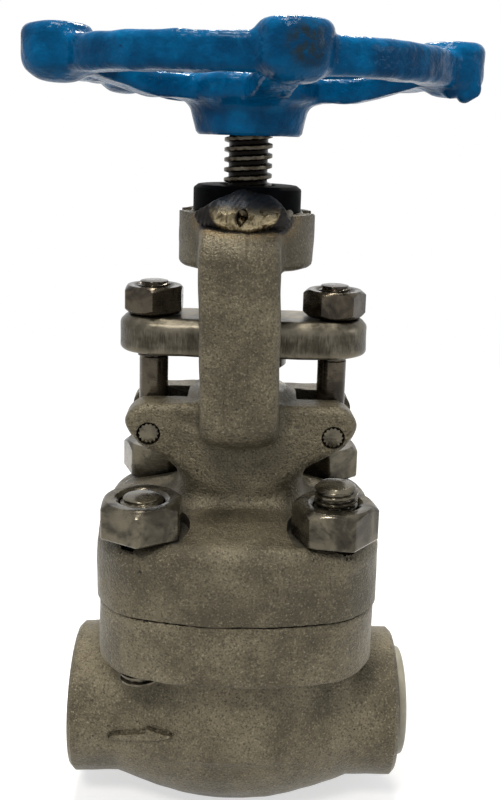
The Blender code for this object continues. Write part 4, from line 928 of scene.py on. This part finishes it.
def yoke_field(x, y, z):
    """The yoke's two arms, which lean a little at the top, around their window."""
    share = np.clip((z - YOKE_LEAN_FROM) / (YOKE_LEAN_TO - YOKE_LEAN_FROM), 0.0, 1.0)
    half_width = YOKE_HALF_WIDTH[0] + (YOKE_HALF_WIDTH[1] - YOKE_HALF_WIDTH[0]) * share
    shifted = x - YOKE_SHIFT - YOKE_LEAN * share
    top = BOSS_TOP - YOKE_SHOULDER_DROP
    chin = PIN_Z - YOKE_CHIN_BELOW_PIN + YOKE_CHIN_BOW * shifted ** 2
    out = np.abs(y) - YOKE_HALF_SPAN
    arms = both(both(out, z - top, YOKE_SHOULDER_ROUND), chin - z, YOKE_CHIN_ROUND)
    floor = PIN_Z + CHIMNEY_ABOVE_PIN - 0.6
    roof = BOSS_BOTTOM + 1.0
    window = rectangle(
        y, z - (floor + roof) / 2, YOKE_WINDOW_HALF, (roof - floor) / 2, YOKE_WINDOW_ROUND)
    arms = cut(arms, window, YOKE_WINDOW_EDGE_ROUND)
    arms = both(arms, np.abs(shifted) - half_width, YOKE_EDGE_ROUND)
    marks = np.minimum(*[np.abs(shifted - mark) for mark in DIE_MARKS])
    return arms + DIE_MARK_DEPTH * np.exp(-(marks / DIE_MARK_HALF) ** 2)


def lug_field(x, y, z):
    """The two pairs of eyebolt lugs, a wide T from the front."""
    along = np.abs(x)
    height = z - PIN_Z
    end = along - PIN_X - LUG_END_ROUND
    under_x, under_z = LUG_UNDER_POINT
    under = (along - under_x) * math.cos(LUG_UNDER_SLOPE) + (height - under_z) * math.sin(LUG_UNDER_SLOPE)
    outline = both(both(height - LUG_TOP_ABOVE_PIN, end, LUG_END_ROUND), under, LUG_UNDER_ROUND)
    return both(outline, np.abs(y) - LUG_HALF_DEPTH, LUG_EDGE_ROUND)


def bonnet_forging(x, y, z):
    """The bonnet's outside: crowned flange, neck, lugs, yoke and boss."""
    away = np.hypot(x, y)
    crown = z - NUT_SEAT - CROWN_RISE + CROWN_FALL * away ** 2
    flange = both(bowed_square(x, y, BONNET_FLANGE_HALF), crown * 0.95, CROWN_ROUND)
    flange = both(flange, BODY_TOP + GAP - z, 0.4)
    neck = both(
        rectangle(x, y, *NECK_HALF, NECK_CORNER), slab(z, BODY_TOP + 5.0, PIN_Z))
    shape = join(join(flange, neck, NECK_FILLET), lug_field(x, y, z), NECK_FILLET)
    chimney_top = PIN_Z + CHIMNEY_ABOVE_PIN
    chimney = both(away - CHIMNEY_RADIUS, slab(z, NUT_SEAT, chimney_top))
    cone = (away + z - chimney_top - CHIMNEY_RADIUS + CHIMNEY_CHAMFER) * math.sqrt(0.5)
    chimney = both(chimney, cone, 0.4)
    shape = join(shape, chimney, CHIMNEY_FILLET)
    boss = both(away - BOSS_RADIUS, BOSS_BOTTOM - z, 2.0)
    boss = both(boss, z - BOSS_TOP - BOSS_LIP, 0.6)
    shape = join(shape, join(yoke_field(x, y, z), boss, BOSS_FILLET), YOKE_FILLET)
    return shape + 0.10 * lumps(x, y, z, 6.0, 2.2) + 0.035 * lumps(x, y, z, 2.4, 0.2)


def bonnet_field(x, y, z):
    """The finished bonnet: the forging with its tongue, bores, spot faces, slots and holes."""
    shape = both(bonnet_forging(x, y, z), z - BOSS_TOP - BOSS_LIP)
    tongue = both(np.hypot(x, y) - GASKET_RADIUS, slab(z, TONGUE_BOTTOM, BODY_TOP + 3.0))
    shape = np.minimum(both(shape, BODY_TOP + GAP - z), tongue)
    chimney_top = PIN_Z + CHIMNEY_ABOVE_PIN
    hollow = bored(x, y, z, (
        (BUSH_POCKET_RADIUS, TONGUE_BOTTOM - 2.0, BUSH_TOP + GAP),
        (STEM_HOLE_RADIUS, BUSH_TOP, PACKING_BOTTOM),
        (PACKING_BOX_RADIUS, PACKING_BOTTOM - GAP, chimney_top + 2.0),
        (YOKE_NUT_HOLE_RADIUS, BOSS_BOTTOM - 4.0, BOSS_TOP + 2.0),
    ))
    shape = cut(shape, hollow)
    spot_face_top = NUT_SEAT + SPOT_FACE_HEIGHT
    shape = cut(shape, stud_bores(x, y, z, SPOT_FACE_RADIUS, NUT_SEAT - GAP, spot_face_top))
    shape = cut(shape, stud_bores(x, y, z, STUD_HOLE_RADIUS, BODY_TOP - 2.0, NUT_SEAT + 1.0))
    slot = np.maximum(SLOT_INNER - np.abs(x), np.abs(y) - SLOT_HALF)
    shape = cut(shape, np.maximum(slot, PIN_Z - SLOT_FLOOR_BELOW_PIN - z), 0.4)
    from_pin = np.hypot(np.abs(x) - PIN_X, z - PIN_Z)
    return cut(shape, from_pin - PIN_RADIUS - PIN_GROOVE)


def bonnet_faces(middles, facing):
    """Machined steel on the spot faces and in the bores, forged skin elsewhere."""
    x, y, z = middles.T
    seats = (np.abs(z - NUT_SEAT + GAP) < 0.05) & (facing[:, 2] > 0.95)
    bores = (np.hypot(x, y) < BUSH_POCKET_RADIUS + 0.1) & (z < BOSS_TOP - 0.2)
    return seats | bores | (z < BODY_TOP + GAP + 0.05)


# Handwheel

RIM_MIDDLE = HUB_BOTTOM + RIM_ABOVE_HUB_BOTTOM
SPOKE_LOW = HUB_BOTTOM + HUB_STRAIGHT
SPOKE_MIDDLE = SPOKE_LOW + SPOKE_HALF[1]
HUB_TOP = SPOKE_LOW + 2 * SPOKE_HALF[1]


def lobe_field(x, y, z, angle):
    """A knob on the rim: upright at its sides, softly flat on top and a bowl below."""
    away = np.hypot(x - LOBE_RADIUS * math.cos(angle), y - LOBE_RADIUS * math.sin(angle))
    height = z - RIM_MIDDLE
    drum = both(away - LOBE_HALF_WIDTH, slab(height, -LOBE_HALF_HEIGHT, LOBE_HALF_HEIGHT), LOBE_ROUND)
    bowl = np.hypot(away / BOWL_RADIUS, (height - BOWL_LIFT) / BOWL_HEIGHT) * BOWL_HEIGHT - BOWL_HEIGHT
    return both(drum, bowl, 0.9)


def spoke_field(x, y, z, angle):
    """A spoke: level out from the hub, then bent up to the rim."""
    out = x * math.cos(angle) + y * math.sin(angle)
    across = y * math.cos(angle) - x * math.sin(angle)
    past = out - SPOKE_BEND
    past = (past + np.sqrt(past ** 2 + 1.5)) / 2
    slope = (RIM_MIDDLE - SPOKE_MIDDLE) / (RIM_RADIUS - SPOKE_BEND)
    height = (z - SPOKE_MIDDLE - past * slope) / math.sqrt(1 + slope ** 2)
    section = rectangle(across, height, *SPOKE_HALF, 0.8)
    return np.maximum(section, slab(out, 4.0, RIM_RADIUS))


def wheel_field(x, y, z):
    """The handwheel's casting: hub, spokes, rim, knobs and runs of paint, with its square hole."""
    away = np.hypot(x, y)
    rim = rectangle(away - RIM_RADIUS, z - RIM_MIDDLE, *RIM_HALF, 1.8)
    taper = HUB_RADIUS + HUB_TAPER * (z - HUB_BOTTOM)
    sleeve = both(away - taper, slab(z, HUB_BOTTOM, HUB_TOP), 1.0)
    flare = both(away - HUB_FLARE_RADIUS, slab(z, SPOKE_LOW, HUB_TOP), 1.4)
    spokes = None
    for i in range(LOBES):
        spoke = spoke_field(x, y, z, FIRST_LOBE + 2 * math.pi * i / LOBES)
        spokes = spoke if spokes is None else np.minimum(spokes, spoke)
    shape = join(join(sleeve, flare, HUB_FILLET), spokes, SPOKE_FILLET)
    shape = join(shape, rim, RIM_FILLET)
    for i in range(LOBES):
        lobe = lobe_field(x, y, z, FIRST_LOBE + 2 * math.pi * i / LOBES)
        shape = join(shape, lobe, LOBE_FILLET)
    for drip in paint_drips():
        shape = join(shape, ball(x, y, z, *drip), 1.0)
    shape = shape + 0.10 * lumps(x, y, z, 5.0, 0.9) + 0.06 * lumps(x, y, z, 2.7, 2.0)
    square = rectangle(x, y, DRIVE_SQUARE / 2 + GAP, DRIVE_SQUARE / 2 + GAP, 0.5)
    shape = cut(shape, both(square, away - 5.8))
    return both(shape, HUB_BOTTOM - z)


def paint_drips():
    """Runs of paint that have gathered under the right-hand lobe, as middles and half sizes."""
    angle = FIRST_LOBE + 2 * math.pi / LOBES
    x = LOBE_RADIUS * math.cos(angle)
    y = LOBE_RADIUS * math.sin(angle)
    low = RIM_MIDDLE - LOBE_HALF_HEIGHT
    return (
        ((x + 2.6, y - 3.4, low + 0.6), (1.6, 1.6, 1.5)),
        ((x + 4.6, y - 3.8, low + 2.4), (1.3, 1.3, 2.0)),
        ((x - 0.6, y - 4.4, low + 0.9), (1.4, 1.4, 0.9)),
    )


# Weld


def weld_field(x, y, z):
    """The tack weld's bead: two overlapping puddles, ripples, a crater and one spatter ball."""
    low = ball(x, y, z, WELD_MIDDLE, WELD_HALF)
    high = ball(x, y, z, WELD_CREST, WELD_CREST_HALF)
    shape = join(low, high, 2.0)
    ripple = np.hypot(x - 7.0, z - BOSS_TOP + 4.0)
    shape = shape + 0.035 * np.sin(ripple * 2 * math.pi / 0.9) + 0.22 * lumps(x, y, z, 2.8, 0.7)
    crater = ball(x, y, z, WELD_CRATER, (1.4, 1.8, 1.6)) + 0.4 * lumps(x, y, z, 1.3, 1.9)
    shape = cut(shape, crater, 0.2)
    return np.minimum(shape, ball(x, y, z, WELD_SPATTER, (0.8, 0.8, 0.8)))


def gland_flange_field(x, y, z):
    """The oval gland flange with its bevelled top edge, bore and bolt holes."""
    width, end = GLAND_PLATE_HALF_WIDTH, GLAND_PLATE_END_RADIUS
    bow = (PIN_X ** 2 + width ** 2 - end ** 2) / (2 * (width - end))
    sides = np.hypot(x, np.abs(y) + bow - width) - bow
    outline = both(np.abs(x) - PIN_X - end, sides, end)
    shape = both(outline, GLAND_FLANGE_BOTTOM - z, 1.0)
    shape = both(shape, z - GLAND_FLANGE_TOP)
    bevel = (outline + z - GLAND_FLANGE_TOP + GLAND_PLATE_BEVEL) * math.sqrt(0.5)
    shape = both(shape, bevel, 0.5)
    shape = shape + 0.07 * lumps(x, y, z, 4.0, 1.1)
    shape = both(shape, z - GLAND_FLANGE_TOP)
    shape = cut(shape, np.hypot(x, y) - GLAND_PLATE_BORE)
    return cut(shape, np.hypot(np.abs(x) - PIN_X, y) - GLAND_PLATE_HOLE)


# Building


def skin_over(node, field, cell):
    """The skin of a field, looked for around the node that it stands for."""
    low, high = corners(node)
    return skin(field, low - SKIN_MARGIN, high + SKIN_MARGIN, cell)


def make_forgings(forged, heat_tinted_painted_shade, machined, blue, weld, sheared):
    """The five pieces made as skins: body, bonnet, handwheel, weld and gland flange."""
    add_piece(
        "forged_body", skin_over("body", body_field, FORGED_CELL),
        "casing", ["body"], [forged, machined], chooser=body_faces)
    add_piece(
        "forged_bonnet", skin_over("bonnet", bonnet_field, FORGED_CELL),
        "casing", ["bonnet"], [heat_tinted_painted_shade, machined], chooser=bonnet_faces)
    add_piece(
        "wheel_casting", skin_over("handwheel", wheel_field, WHEEL_CELL),
        "stem_group", ["handwheel"], [blue])
    add_piece(
        "weld_bead", skin_over("yoke_nut_weld", weld_field, SMALL_CELL),
        "casing", ["yoke_nut_weld"], [weld])
    add_piece(
        "gland_plate", skin_over("gland_flange", gland_flange_field, SMALL_CELL),
        "gland_group", ["gland_flange"], [sheared])


def make_bonnet_bolting(bright):
    """Four studs and nuts. The longest stud shows under the body's flange."""
    outside, root, _ = BONNET_THREAD
    turns = {"front_left": 0.0, "front_right": 21.0, "rear_left": 20.0, "rear_right": 8.0}
    longest = "front_left"
    for name, turn in turns.items():
        x, y, _ = centre("bonnet_stud_" + name)
        top = highest("bonnet_stud_" + name)
        start = BONNET_NUT_TOP - 3.0
        bottom = STUD_BOTTOM + STUD_CUT_SHORT
        if name == longest:
            bottom = STUD_BOTTOM - STUD_BELOW_FLANGE
        rings = rings_of([(root - 0.4, bottom)])
        rings += threaded(bottom + 0.3, STUD_BOTTOM + 4.8, BONNET_THREAD)
        rings += threaded(start, top - 0.15, BONNET_THREAD, chamfer=0.9)
        rings += rings_of([(3.4, top)])
        add_piece(
            "stud_" + name, moved(lofted(rings), (x, y, 0.0)), "casing",
            ["bonnet_stud_" + name], [bright])
        hexagon = nut(
            BONNET_NUT_ACROSS, NUT_SEAT, BONNET_NUT_TOP, outside + GAP, turn - 90.0, False)
        add_piece(
            "nut_" + name, moved(hexagon, (x, y, 0.0)), "casing", ["bonnet_nut_" + name],
            [bright], sharp=24)


def make_gland_bolting(dark, bright):
    """Two eyebolts on their pins, with the nuts that press the gland flange down."""
    eye_radius, eye_half = 5.4, 4.2
    top = highest("eyebolt_left")
    thread_start = GLAND_FLANGE_BOTTOM - 1.7
    for side, name, turn in ((-1, "left", 0.0), (1, "right", 30.0)):
        rings = rings_of([(2.4, PIN_Z + 4.2), (3.4, PIN_Z + 4.9), (3.4, thread_start)])
        rings += threaded(thread_start + 0.2, GLAND_FLANGE_BOTTOM + 2.0, GLAND_THREAD)
        rings += threaded(GLAND_NUT_TOP - 2.0, top - 0.1, GLAND_THREAD, chamfer=0.6)
        rings += rings_of([(2.7, top)])
        shank = moved(lofted(rings), (side * PIN_X, 0.0, 0.0))
        bore = PIN_RADIUS + GAP
        eye = turned([
            (eye_radius - 0.9, -eye_half), (eye_radius, -eye_half + 0.9),
            (eye_radius, eye_half - 0.9), (eye_radius - 0.9, eye_half), (bore, eye_half),
            (bore, -eye_half),
        ], SMALL_STEPS, hollow=True)
        eye = moved(laid_along(eye, "Y"), (side * PIN_X, 0.0, PIN_Z))
        add_piece("swing_bolt_" + name, shank, "casing", ["eyebolt_" + name], [dark])
        add_piece("swing_eye_" + name, eye, "casing", ["eyebolt_" + name], [dark])
        hexagon = nut(
            SMALL_NUT_ACROSS, GLAND_NUT_BOTTOM, GLAND_NUT_TOP, GLAND_THREAD[0] + 0.1,
            turn - 90.0, True)
        add_piece(
            "gland_hex_" + name, moved(hexagon, (side * PIN_X, 0.0, 0.0)), name + "_gland_nut",
            ["gland_nut_" + name], [dark], sharp=24)
        add_piece(
            "hinge_pin_" + name, serrated_pin(side), "casing", ["eyebolt_pin_" + name],
            [bright])


def serrated_pin(side):
    """A pin whose ends are knurled to grip the lugs, with slightly crowned faces."""
    half = corners("eyebolt_pin_right")[1][1]
    steps = 84
    teeth = 14
    angles = 2 * math.pi * np.arange(steps) / steps
    wave = np.abs(((angles * teeth / (2 * math.pi)) % 1.0) - 0.5) * 2
    toothed = PIN_RADIUS - 0.3 + 0.4 * wave
    plain = PIN_RADIUS - 0.1
    rings = rings_of([
        (PIN_RADIUS - 0.6, -half), (toothed - 0.2, -half + 0.1), (toothed, -half + 0.4),
        (toothed, -half + 3.0), (plain, -half + 3.2), (plain, half - 3.2),
        (toothed, half - 3.0), (toothed, half - 0.4), (toothed - 0.25, half - 0.12),
        (PIN_RADIUS - 0.8, half),
    ], steps)
    return moved(laid_along(lofted(rings), "Y"), (side * PIN_X, 0.0, PIN_Z))


def make_stem(oiled):
    """The stem: its button in the disc, a plain length, its thread, and the square for the wheel."""
    radius, button = STEM_RADIUS, 7.0
    bottom = lowest("stem")
    top = highest("stem")
    thread_low = GLAND_FLANGE_TOP + 3.0
    square = np.abs(np.cos(2 * math.pi * np.arange(SMALL_STEPS) / SMALL_STEPS))
    other = np.abs(np.sin(2 * math.pi * np.arange(SMALL_STEPS) / SMALL_STEPS))
    drive = np.minimum(DRIVE_SQUARE / 2 / np.maximum(square, other), radius)
    rings = rings_of([
        (button - 0.5, bottom), (button, bottom + 0.5), (button, bottom + 2.6),
        (button - 0.4, bottom + 3.0), (radius, bottom + 3.0), (radius, thread_low - 0.4),
    ])
    thread = (radius, STEM_ROOT_RADIUS, STEM_PITCH)
    rings += threaded(thread_low, HUB_BOTTOM - 0.1, thread, slices=16)
    rings += rings_of([(drive, HUB_BOTTOM), (drive, HUB_TOP - GAP)])
    rings += threaded(HUB_TOP, top - 0.1, WHEEL_THREAD, chamfer=0.6)
    rings += rings_of([(2.9, top)])
    add_piece("threaded_stem", lofted(rings), "stem_group", ["stem"], [oiled])


def make_yoke_nut(black):
    """The round nut that the stem climbs in, pressed into the boss."""
    high = highest("yoke_nut")
    bore = 5.8
    head = 12.35
    head_bottom = BOSS_TOP + 0.1
    profile = [
        (bore + 0.8, BOSS_BOTTOM), (8.6, BOSS_BOTTOM), (9.0, BOSS_BOTTOM + 0.4), (9.0, head_bottom),
        (head - 0.3, head_bottom), (head, head_bottom + 0.3), (head, high - 1.1),
        (head - 0.12, high - 0.75), (head - 1.0, high - 0.06), (head - 1.4, high),
        (bore + 0.8, high), (bore, high - 0.8), (bore, BOSS_BOTTOM + 0.8),
    ]
    add_piece(
        "round_yoke_nut", turned(profile, hollow=True), "casing", ["yoke_nut"], [black])


def make_wheel_fastening(black):
    """The washer and nut that hold the handwheel on the stem."""
    low, high = corners("wheel_washer")
    bore = 4.3
    rim = high[0]
    profile = [
        (rim - 0.2, low[2]), (rim, low[2] + 0.2), (rim, high[2] - 0.25), (rim - 0.25, high[2]),
        (bore + 0.2, high[2]), (bore, high[2] - 0.2), (bore, low[2] + 0.2), (bore + 0.2, low[2]),
    ]
    add_piece(
        "plain_washer", turned(profile, SMALL_STEPS, hollow=True), "stem_group", ["wheel_washer"],
        [black])
    hexagon = nut(SMALL_NUT_ACROSS, WHEEL_NUT_BOTTOM, WHEEL_NUT_TOP, bore, -90.0, False)
    add_piece("wheel_hex", hexagon, "stem_group", ["wheel_nut"], [black], sharp=24)


def make_gland(dark):
    """The gland: a sleeve that presses the packing, under a collar that the flange bears on."""
    bore = 5.9
    sleeve = 8.3
    shoulder = 10.2
    step = GLAND_TOP - 2.6
    profile = [
        (bore + 0.5, GLAND_BOTTOM), (sleeve - 0.4, GLAND_BOTTOM), (sleeve, GLAND_BOTTOM + 0.4),
        (sleeve, step), (shoulder - 0.4, step), (shoulder, step + 0.4),
        (shoulder, GLAND_TOP - 0.3), (shoulder - 0.3, GLAND_TOP), (bore + 0.5, GLAND_TOP),
        (bore, GLAND_TOP - 0.5), (bore, GLAND_BOTTOM + 0.5),
    ]
    add_piece(
        "gland_sleeve", turned(profile, hollow=True), "gland_group", ["gland"],
        [dark])


def make_port_plug(plastic):
    """A hollow push-in plug with a flange and a shallow dish in its face."""
    low, high = corners("port_cap")
    start, end = low[0], high[0]
    face = HALF_LENGTH + GAP
    plug = SOCKET_RADIUS - GAP
    inside = plug - 1.2
    rim = 12.95
    profile = [
        (inside + 0.2, start), (plug - 0.3, start), (plug, start + 0.4), (plug, face - 0.3),
        (plug + 0.3, face), (rim - 0.4, face), (rim, face + 0.4), (rim, end - 0.8),
        (rim - 0.25, end - 0.3), (rim - 0.9, end), (9.2, end), (8.4, end - 0.5), (0.4, end - 0.5),
        (0.4, end - 1.6), (inside - 0.5, end - 1.6), (inside, end - 2.2), (inside, start + 0.3),
    ]
    shape = moved(laid_along(turned(profile, hollow=True), "X"), (0.0, 0.0, PORT_Z))
    add_piece("push_in_plug", shape, "end_plug", ["port_cap"], [plastic])


def dress_inner_nodes(bright, graphite):
    """Give the sealed inner pieces their finish. Their shapes stay."""
    inner = {"seat_ring": bright, "disc": bright, "disc_nut": bright, "backseat_bush": bright,
             "bonnet_gasket": graphite}
    for i in range(1, 6):
        inner["packing_ring_" + str(i)] = graphite
    for node, shade in inner.items():
        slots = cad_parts[node].material_slots
        if slots:
            slots[0].material = shade
        else:
            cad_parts[node].data.materials.append(shade)


# Stage


def seen_directly(tree):
    """One for what the camera sees by itself, in a mirror or through something."""
    path = add_node("ShaderNodeLightPath", tree=tree)
    seen = reckon("MAXIMUM", path.outputs["Is Camera Ray"], path.outputs["Is Glossy Ray"])
    return reckon("MAXIMUM", seen, path.outputs["Is Transmission Ray"])


def make_floor():
    """A pale round floor that fades out into the white background."""
    shade, place = new_material("floor_shade")
    tree = shade.node_tree
    fade = ramp(length_of(place), 100.0, 550.0)
    shader = tree.nodes["Principled BSDF"]
    shader.inputs["Base Color"].default_value = (0.50, 0.50, 0.50, 1.0)
    shader.inputs["Roughness"].default_value = 0.9
    strength = times(seen_directly(tree), 0.62)
    glow = add_node("ShaderNodeEmission", {"Strength": strength})
    lit = add_node("ShaderNodeAddShader", {0: shader.outputs[0], 1: glow.outputs[0]})
    clear = add_node("ShaderNodeBsdfTransparent", tree=tree)
    mixed = add_node("ShaderNodeMixShader", {0: fade, 1: lit.outputs[0], 2: clear.outputs[0]})
    tree.links.new(mixed.outputs[0], tree.nodes["Material Output"].inputs["Surface"])
    points, faces = turned([(0.01, -0.4), (600.0, -0.4), (600.0, 0.0), (0.01, 0.0)], 64)
    mesh = bpy.data.meshes.new("floor")
    mesh.from_pydata((points * MM).tolist(), [], faces)
    mesh.materials.append(shade)
    floor = bpy.data.objects.new("floor", mesh)
    floor.location.z = -0.1 * MM
    bpy.context.scene.collection.objects.link(floor)


def make_world():
    """White where it is seen directly, mirrored or through something, and soft grey as a light."""
    world = bpy.data.worlds.new("world")
    bpy.context.scene.world = world
    world.use_nodes = True
    tree = world.node_tree
    background = tree.nodes["Background"]
    colour = blend(seen_directly(tree), (0.31, 0.315, 0.325), (1.0, 1.0, 1.0))
    tree.links.new(colour, background.inputs["Color"])
    background.inputs["Strength"].default_value = 1.0


def add_lamp(name, place, target, size, power, colour):
    """A soft rectangular lamp that faces a target. Places and sizes are in metres, power in watts."""
    data = bpy.data.lights.new(name, "AREA")
    data.shape = "RECTANGLE"
    data.size, data.size_y = size
    data.energy = power
    data.color = colour
    lamp = bpy.data.objects.new(name, data)
    lamp.location = place
    lamp.rotation_euler = (Vector(target) - Vector(place)).to_track_quat("-Z", "Y").to_euler()
    bpy.context.scene.collection.objects.link(lamp)


def make_lamps():
    """Three warm lamps above and behind, and a faint cool one from the right."""
    middle = (0.0, 0.0, 0.1)
    warm = (1.0, 0.95, 0.86)
    add_lamp("overhead_lamp", (-0.04, -0.05, 0.70), middle, (0.18, 0.14), 3.2, warm)
    add_lamp("rear_lamp", (0.05, 0.45, 0.60), middle, (0.20, 0.12), 3.0, warm)
    add_lamp("front_lamp", (-0.18, -0.50, 0.72), middle, (0.18, 0.16), 3.4, (1.0, 0.97, 0.92))
    add_lamp("right_lamp", (0.7, -0.2, 0.35), middle, (0.15, 0.25), 0.7, (0.93, 0.96, 1.0))


def make_camera():
    """The photograph's view, for an image of 501 by 800."""
    width, height = 501, 800
    focal = 980.36
    axis = (265.02, 326.55)
    yaw, pitch, roll = [math.radians(angle) for angle in (1.10, 11.13, 1.75)]
    place = Vector((0.62, -226.62, PORT_Z + 140.41)) * MM
    ahead = Vector((math.sin(yaw) * math.cos(pitch), math.cos(yaw) * math.cos(pitch), -math.sin(pitch)))
    right = Vector((math.cos(yaw), -math.sin(yaw), 0.0))
    up = right.cross(ahead)
    camera_x = math.cos(roll) * right + math.sin(roll) * up
    camera_y = math.cos(roll) * up - math.sin(roll) * right
    turn = Matrix((camera_x, camera_y, -ahead)).transposed().to_4x4()
    data = bpy.data.cameras.new("camera")
    data.sensor_width = 36.0
    data.lens = focal / height * data.sensor_width
    data.shift_x = (width / 2 - axis[0]) / height
    data.shift_y = (axis[1] - height / 2) / height
    data.clip_start = 0.01
    camera = bpy.data.objects.new("camera", data)
    camera.matrix_world = Matrix.Translation(place) @ turn
    bpy.context.scene.collection.objects.link(camera)
    bpy.context.scene.camera = camera


def main():
    make_camera()
    make_floor()
    make_world()
    make_lamps()
    forged = forged_shade("forged_skin", 0.86)
    # The bonnet's copy of the forged skin is darker than the body's as painted shade, and carries the
    # weld's heat tint.
    heat_tinted_painted_shade = forged_shade("forged_skin_heat_tinted_painted_shade", 0.70, with_heat=True)
    machined = machined_shade("machined_face", (0.16, 0.145, 0.11), (0.30, 0.28, 0.23), 0.3)
    bright = machined_shade("bright_bolting", (0.034, 0.029, 0.020), (0.130, 0.114, 0.081), 0.17, 0.55)
    dark = machined_shade("dark_bolting", (0.020, 0.015, 0.010), (0.088, 0.072, 0.050), 0.17, 0.5)
    make_forgings(
        forged, heat_tinted_painted_shade, machined, blue_shade("thick_blue_paint"), weld_shade("weld_bead_metal"),
        sheared_shade("sheared_plate"))
    make_bonnet_bolting(bright)
    make_gland_bolting(dark, bright)
    make_stem(stem_shade("oiled_stem"))
    black = black_shade("black_oxide")
    make_yoke_nut(black)
    make_wheel_fastening(black)
    make_gland(dark)
    make_port_plug(plastic_shade("off_white_plastic"))
    dress_inner_nodes(bright, graphite_shade("pressed_graphite"))
    bpy.context.scene.view_settings.view_transform = "Standard"


main()
